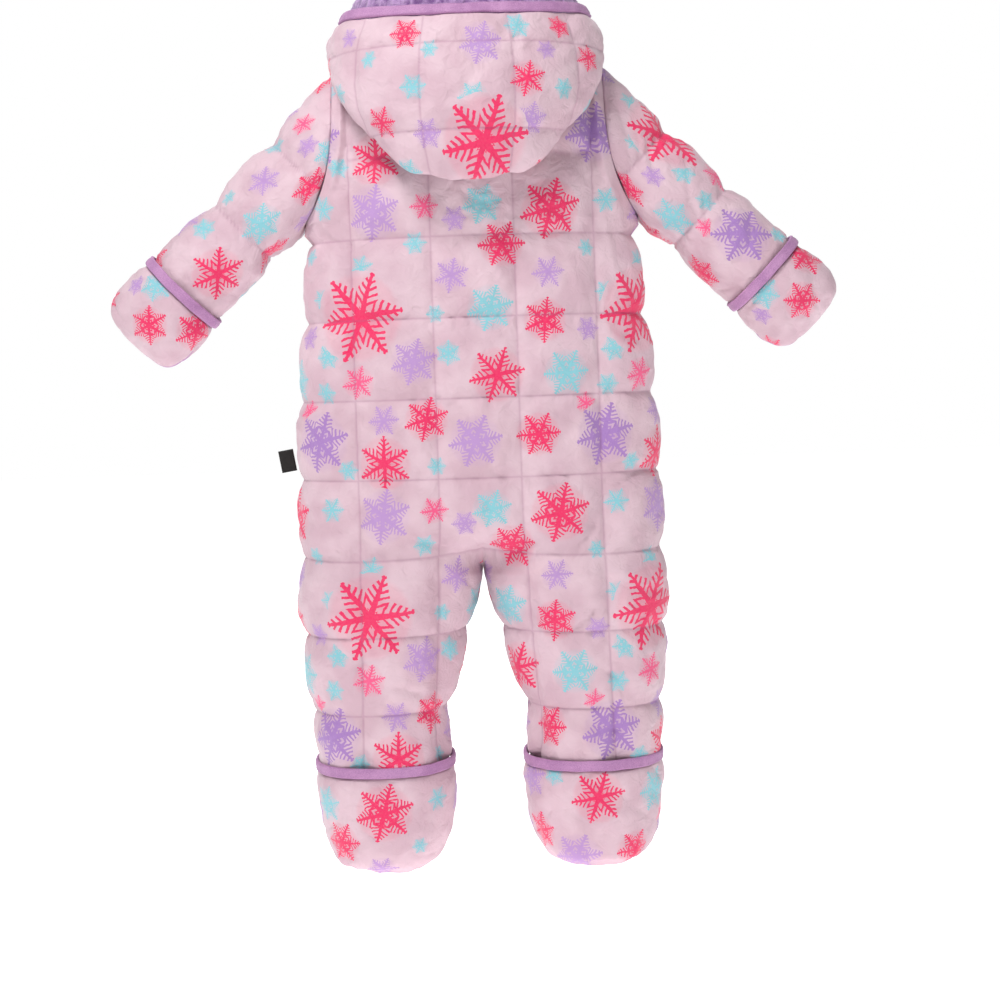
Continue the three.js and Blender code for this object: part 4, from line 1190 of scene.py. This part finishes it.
def build_hood():
    angle = hood_turn(0.62)
    places, lengths = even_places(angle, 110)
    at, _ = hood_places(angle, places)
    points = polar(angle, at)
    rows, columns = points.shape[:2]
    degrees = np.degrees(angle)[:, None] + 0 * lengths
    across = np.radians(nearest(degrees, HOOD_COLUMN_LINES)) * at[..., 0]
    down = nearest(at[..., 1], HOOD_ROW_LINES) + 0.0
    visible = smooth(3.4, 4.2, places)
    fade = smooth(118, 96, np.abs(degrees))
    across = across * fade + (1 - fade) * 60
    down = np.where(visible > 0, down * visible * fade + (1 - visible * fade) * 60, 60)
    edge = np.minimum(lengths, lengths[:, -1:] - lengths)
    quads = grid_quads(rows, columns)
    flat = points.reshape(-1, 3)
    facing = np.sum((normals_of(flat, quads) * flat)[(places > 5).ravel(), :2])
    quads = quads if facing > 0 else quads[:, ::-1]
    moved, line = pad(flat, quads, across.ravel(), down.ravel(), edge.ravel(), seed=71, puff=HOOD_PUFF,
                      crest=HOOD_CREST)
    rim = lengths[:, -1:] - lengths
    uv = np.stack([-113 * np.radians(degrees), rim], -1).reshape(-1, 2)
    piece = make_piece("hood_cloth", moved, quads, HOOD_PRINT, uv=uv[quads].reshape(-1, 2),
                       values={"line": line}, inner=INSIDE, thickness=HOOD_THICK)
    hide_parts("hood_shell")
    print("hood:", len(quads), "quads")
    return piece


build_hood()

# %% [markdown]
# ## Sherpa lining
# The pile stands up to eight millimetres off its backing, and less in the pouch. Hair particles would
# never export, so the pile is a surface with curls: bumps a few millimetres across, in tight clumps, over
# a backing that closes it.

# %% Lining
def pile_runs(angle, count):
    """Backing and free face of the lining: all of the pile over the fold, and less in the pouch."""
    share = np.linspace(0, 1, count)
    places = np.repeat((share * 7)[None], len(angle), 0)
    at, way = hood_places(angle, places)
    way[:, 0] = (-1, 0)
    in_pouch = along(PILE_IN_POUCH, np.abs(np.degrees(angle)))[:, None]
    over_fold = smooth(FOLD_END, FOLD_PLACE, places)
    reach = FUR * (in_pouch + (1 - in_pouch) * over_fold)
    return at + way * BACKING, at + way * (BACKING + reach)[..., None]


def lift_of(points, base):
    """Distance of each point from the one below it."""
    return np.linalg.norm(points - base, axis=1)


def build_lining():
    angle = np.radians(np.linspace(176, -176, 380))
    count = 96
    backing, free = pile_runs(angle, count)
    inner, outer = polar(angle, backing), polar(angle, free)
    rows, columns = outer.shape[:2]
    quads = grid_quads(rows, columns)
    flat = outer.reshape(-1, 3)
    normal = normals_of(flat, quads)
    lift = np.sum((flat - inner.reshape(-1, 3)) * normal, 1)
    normal *= np.sign(np.median(lift))
    warped = flat + 2.0 * np.stack([ripples(flat, 13, 80 + n) for n in range(3)], -1)
    clump = 1 - np.abs(ripples(warped, 13, 83, 14)) * 1.3
    curl = 1 - np.abs(ripples(warped, 6.5, 84, 14)) * 1.3
    height = 0.6 * clump + 0.4 * curl
    border = np.ones((rows, columns))
    border[:, 0] = border[:, -1] = border[0] = border[-1] = 0
    rim = smooth(0, 4, np.minimum(np.arange(columns), np.arange(columns)[::-1]))[None] * border
    deep = smooth(5, 10, lift_of(flat, inner.reshape(-1, 3)))
    moved = flat + normal * (rim.ravel() * (0.25 + 0.75 * deep) * (3.4 * height - 2.2))[:, None]
    points = np.concatenate([moved, inner.reshape(-1, 3)])
    # the curls' height, stored for the pile's colour: painted highlight on the tips, painted shade in the
    # hollows and on the backing
    shade = np.concatenate([height, np.full(len(flat), 0.3)])
    size = len(flat)
    ring = np.concatenate([np.arange(columns), np.arange(1, rows) * columns + columns - 1,
                           (rows - 1) * columns + np.arange(columns - 2, -1, -1),
                           np.arange(rows - 2, -1, -1) * columns])
    ring = ring[np.append(True, ring[1:] != ring[:-1])]
    after = np.roll(ring, -1)
    keep = ring != after
    wall = np.stack([ring, after, after + size, ring + size], -1)[keep]
    faces = np.concatenate([quads, quads[:, ::-1] + size, wall])
    piece = make_piece("hood_pile", points, faces, SHERPA, values={"height": shade})
    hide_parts("hood_lining")
    print("lining:", len(faces), "quads")
    return piece


build_lining()

# %% [markdown]
# ## Bindings, zip and label
# A binding is one tape folded over an edge: a rounded band that wavers a little, with a stitched line
# near its open edge.

# %% Bindings
TAPE_WIDTH, TAPE_THICK = 9, 5
RING_THICK = TAPE_THICK * 0.7     # the tapes round mitts and feet are the flatter ones


def build_band(name, node, centres, outs, acrosses, width, thick, closed, seed):
    """A rounded band along a row of points; `outs` points off the cloth and `acrosses` over its width."""
    turn = np.linspace(0, 2 * np.pi, 20, endpoint=False)
    w = np.sign(np.cos(turn)) * np.abs(np.cos(turn)) ** 0.55 * 0.5
    h = np.sign(np.sin(turn)) * np.abs(np.sin(turn)) ** 0.75 * 0.5
    sway = ripples(centres, 22, seed)[:, None, None]
    pucker = ripples(centres, 7, seed + 1)[:, None]
    groove = 0.55 * np.exp(-((w + 0.27) / 0.05) ** 2)[None] * (np.sin(turn) > 0)
    lift = h[None] * (thick + 0.35 * pucker) - groove
    points = (centres[:, None] + acrosses[:, None] * (w[None, :, None] * width + 0.3 * sway)
              + outs[:, None] * lift[..., None])
    rows, columns = points.shape[:2]
    quads = grid_quads(columns, rows, ring=closed)
    flat = points.transpose(1, 0, 2).reshape(-1, 3)
    last = (columns - 1) * rows
    count = rows if closed else rows - 1
    c = np.arange(count)
    join = np.stack([last + c, c, (c + 1) % rows, last + (c + 1) % rows], -1)
    faces = np.concatenate([quads, join]).tolist()
    if not closed:
        ends = np.arange(columns) * rows
        faces += [ends[::-1].tolist(), (ends + rows - 1).tolist()]
    piece = make_piece(name, flat, faces, BINDING)
    fix_facing(piece)
    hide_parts(node)
    return piece


def fix_facing(piece):
    """Turn a closed mesh's faces outwards."""
    work = bmesh.new()
    work.from_mesh(piece.data)
    bmesh.ops.recalc_face_normals(work, faces=work.faces)
    if work.calc_volume(signed=True) < 0:
        bmesh.ops.reverse_faces(work, faces=work.faces)
    work.to_mesh(piece.data)
    work.free()


bindings = {}
for side, word in ((1, "left"), (-1, "right")):
    mirror = np.array([side, 1.0, 1.0])
    angle = np.linspace(0, 2 * np.pi, 200, endpoint=False)
    at = np.full(200, MITT[0][0] - SEAM - TAPE_WIDTH / 2)
    centres = sleeve_ring(at, np.full(200, MITT[0][1] - 1.2), np.full(200, MITT[0][2] - 1.2), angle)
    outs = np.cos(angle)[:, None] * MITT[0][2] * ACROSS
    outs = outs + (np.sin(angle) * MITT[0][1])[:, None] * np.array([0, 1.0, 0])
    outs /= np.linalg.norm(outs, axis=1, keepdims=True)
    ways = np.repeat(ALONG[None], 200, 0)
    bindings[f"mitt_{word}"] = build_band(f"mitt_tape_{word}", f"mitt_binding_{word}", centres * mirror,
                                          outs * mirror, ways * mirror, TAPE_WIDTH, RING_THICK, True, 91)
    angle = np.linspace(0, 2 * np.pi, 260, endpoint=False)
    c, s = np.cos(angle), np.sin(angle)
    square = 1 / (np.abs(c) ** ROUNDNESS + np.abs(s) ** ROUNDNESS) ** (1 / ROUNDNESS)
    high = FOOT[0][0] + SEAM + TAPE_WIDTH / 2
    wide, deep = FOOT[0][1] - 1.4, FOOT[0][2] - 1.4
    centres = np.stack([FOOT_X + wide * c * square, deep * s * square, high + 0 * c], -1)
    outs = np.stack([c, s, 0 * c], -1)
    ways = np.repeat(np.array([[0, 0, 1.0]]), 260, 0)
    bindings[f"foot_{word}"] = build_band(f"foot_tape_{word}", f"foot_binding_{word}", centres * mirror,
                                          outs * mirror, ways * mirror, TAPE_WIDTH, RING_THICK, True, 93)

angle = np.radians(np.linspace(176, -176, 420))
at, way = hood_places(angle, np.full((420, 1), 7.0))
at, way = at[:, 0], way[:, 0]
beyond = TAPE_WIDTH / 2 + 2.5 * SEAM
centre = np.stack([at[:, 0] + way[:, 0] * 1.2 + way[:, 1] * beyond,
                   at[:, 1] + way[:, 1] * 1.2 - way[:, 0] * beyond], -1)
round_neck = lambda flat: polar(angle, flat[:, None])[:, 0]
build_band("hood_tape", "hood_binding", round_neck(centre), round_neck(-way),
           round_neck(np.stack([way[:, 1], -way[:, 0]], -1)), TAPE_WIDTH, TAPE_THICK, False, 95)
print("bindings:", len(bindings) + 1)

# %% Zip: tape, teeth, slider and pull
ZIP_TOP, ZIP_BOTTOM, TAPE_HALF, TAPE_BEHIND, TAPE_DEPTH = -30, -391.6, 11, 1.5, 0.8
WALL = 3
TAPE_TUCK = 2.4           # how much deeper the zip cloth's sides lie than its middle


def front_y(z):
    """Outer face of the front at its middle."""
    z = np.asarray(z, float)
    top = float(top_height(0, -1))
    t = np.clip((z - top) / (CHEST_Z - top), 0, 1)
    yoke = yoke_depth(0.0, t, -1)
    trunk = along(DEPTH, np.minimum(z, CHEST_Z))
    return -(SEAM / 2 + np.where(z > CHEST_Z, yoke, trunk))


def build_zip_tape():
    z = np.linspace(ZIP_TOP, ZIP_BOTTOM, 160)[:, None]
    x = np.linspace(-TAPE_HALF, TAPE_HALF, 14)[None]
    y = front_y(z) + WALL + TAPE_BEHIND + TAPE_TUCK * smooth(2.5, 7, np.abs(x))
    points = np.stack([x + 0 * z, y, z + 0 * x], -1).reshape(-1, 3)
    quads = grid_quads(160, 14)
    piece = make_piece("zip_cloth", points, quads, ZIP_TAPE, inner=ZIP_TAPE, thickness=TAPE_DEPTH)
    normal = normals_of(points, quads)
    if normal[:, 1].mean() > 0:
        piece.data.flip_normals()
    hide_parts("zip_tape")
    return piece


build_zip_tape()

BLOCK = np.array([[x, y, z] for z in (-1, 1) for x, y in ((-1, -1), (1, -1), (1, 1), (-1, 1))]) / 2
BLOCK_FACES = np.array([[0, 3, 2, 1], [4, 5, 6, 7], [0, 1, 5, 4], [1, 2, 6, 5], [2, 3, 7, 6], [3, 0, 4, 7]])


def blocks(places, ways, tops, sizes):
    """Many small blocks as one mesh: each has a place, the way it points, its top's way and its size."""
    sides = np.cross(tops, ways)
    frames = np.stack([ways, sides, tops], 1)
    points = places[:, None] + np.einsum("vk,nkj->nvj", BLOCK * sizes, frames)
    faces = BLOCK_FACES[None] + (np.arange(len(places)) * 8)[:, None, None]
    return points.reshape(-1, 3), faces.reshape(-1, 4)


def build_teeth():
    """Two rows of moulded teeth that mesh on the middle line: a tooth every 3.2 mm a side."""
    z = np.arange(ZIP_TOP - 12, ZIP_BOTTOM + 4, -1.6)
    side = np.where(np.arange(len(z)) % 2, 1.0, -1.0)
    slope = (front_y(z + 1) - front_y(z - 1)) / 2
    places = np.stack([side * 1.1, front_y(z) + WALL + 0.25, z], -1)
    ways = np.stack([np.ones(len(z)), 0 * z, 0 * z], -1)
    tops = np.stack([0 * z, -np.ones(len(z)), slope], -1)
    tops /= np.linalg.norm(tops, axis=1, keepdims=True)
    points, faces = blocks(places, ways, tops, np.array([4.2, 1.15, 1.5]))
    piece = make_piece("zip_teeth", points, faces, PLASTIC)
    fix_facing(piece)
    print("teeth:", len(z))
    return piece


build_teeth()
for node in ("zip_slider", "zip_pull"):
    shown = [o for o in bpy.data.objects if o.get("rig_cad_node") == node or o.name == node]
    for part in shown:
        for place in part.material_slots:
            place.material = PLASTIC

# %% Side label: a folded loop sewn into the side seam
LABEL_Z, LABEL_WIDE, LABEL_HIGH, LABEL_THICK, LABEL_TILT = -341, 13, 19, 1.6, math.radians(9)


def build_label():
    """A woven tape folded into a loop: two layers that meet in a round fold at the outer end."""
    turn = np.linspace(-np.pi / 2, np.pi / 2, 9)
    half = LABEL_THICK / 2
    straight = LABEL_WIDE - half
    across = np.concatenate([np.linspace(0, straight, 8)[:-1], straight + half * np.cos(turn),
                             np.linspace(straight, 0, 8)[1:]])
    depth = np.concatenate([np.full(7, -half), half * np.sin(turn), np.full(7, half)])
    high = np.linspace(-LABEL_HIGH / 2, LABEL_HIGH / 2, 12)
    x, z = np.meshgrid(across, high, indexing="ij")
    bow = 0.7 * np.sin(np.pi * x / LABEL_WIDE) * np.cos(np.pi * z / LABEL_HIGH * 0.8)
    y = depth[:, None] * 0.94 + 0 * z
    c, s = math.cos(LABEL_TILT), math.sin(LABEL_TILT)
    edge = float(along(OUTER, np.array(LABEL_Z, float)))
    off = y * 0.5 + bow * 0.3 + np.sign(y) * 0.35
    points = np.stack([edge + 1.2 + c * x + s * z, off, LABEL_Z - s * x + c * z], -1)
    quads = grid_quads(len(across), len(high))
    piece = make_piece("label_loop", points.reshape(-1, 3), quads, LABEL, inner=LABEL, thickness=0.35)
    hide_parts("side_label")
    return piece


build_label()

# %% [markdown]
# ## Flat sizes of the cloth
# Flat width and length, in metres, of each printed piece are those of its own print chart; a tube is cut
# all round. The chart of a mitt and of a foot leaves out the closed tip, so the cloth there is larger than
# its chart. The pile has no chart and is taken as cut to the hood's pattern. The tapes, the label and the
# zip's cloth are plain strips with no chart: their sizes are worked back from the finished piece, so their
# area says nothing about a real cut. Each piece's sizes are printed with the way it is held.

# %% Flat sizes
def flat_sheet(piece, wide, high, held):
    """Print one sheet's flat width and length in metres, and how it is held."""
    print(f"{piece.name}: {wide:.3f} x {high:.3f} m, {held}")


suit = bpy.data.objects
flat_sheet(suit["back_cloth"], 0.404, 0.625, "hung")
flat_sheet(suit["hood_cloth"], 0.694, 0.332, "folded")
flat_sheet(suit["hood_pile"], 0.694, 0.332, "folded")
flat_sheet(suit["hood_tape"], 0.010, 0.660, "folded")
flat_sheet(suit["zip_cloth"], 0.022, 0.362, "hung")
flat_sheet(suit["label_loop"], 0.021, 0.024, "folded")
for word in ("left", "right"):
    flat_sheet(suit[f"front_cloth_{word}"], 0.241, 0.625, "hung")
    flat_sheet(suit[f"sleeve_cloth_{word}"], 0.347, 0.234, "hung")
    flat_sheet(suit[f"mitt_cloth_{word}"], 0.238, 0.059, "hung")
    flat_sheet(suit[f"mitt_tape_{word}"], 0.010, 0.240, "folded")
    flat_sheet(suit[f"foot_cloth_{word}"], 0.409, 0.088, "hung")
    flat_sheet(suit[f"foot_tape_{word}"], 0.010, 0.400, "folded")
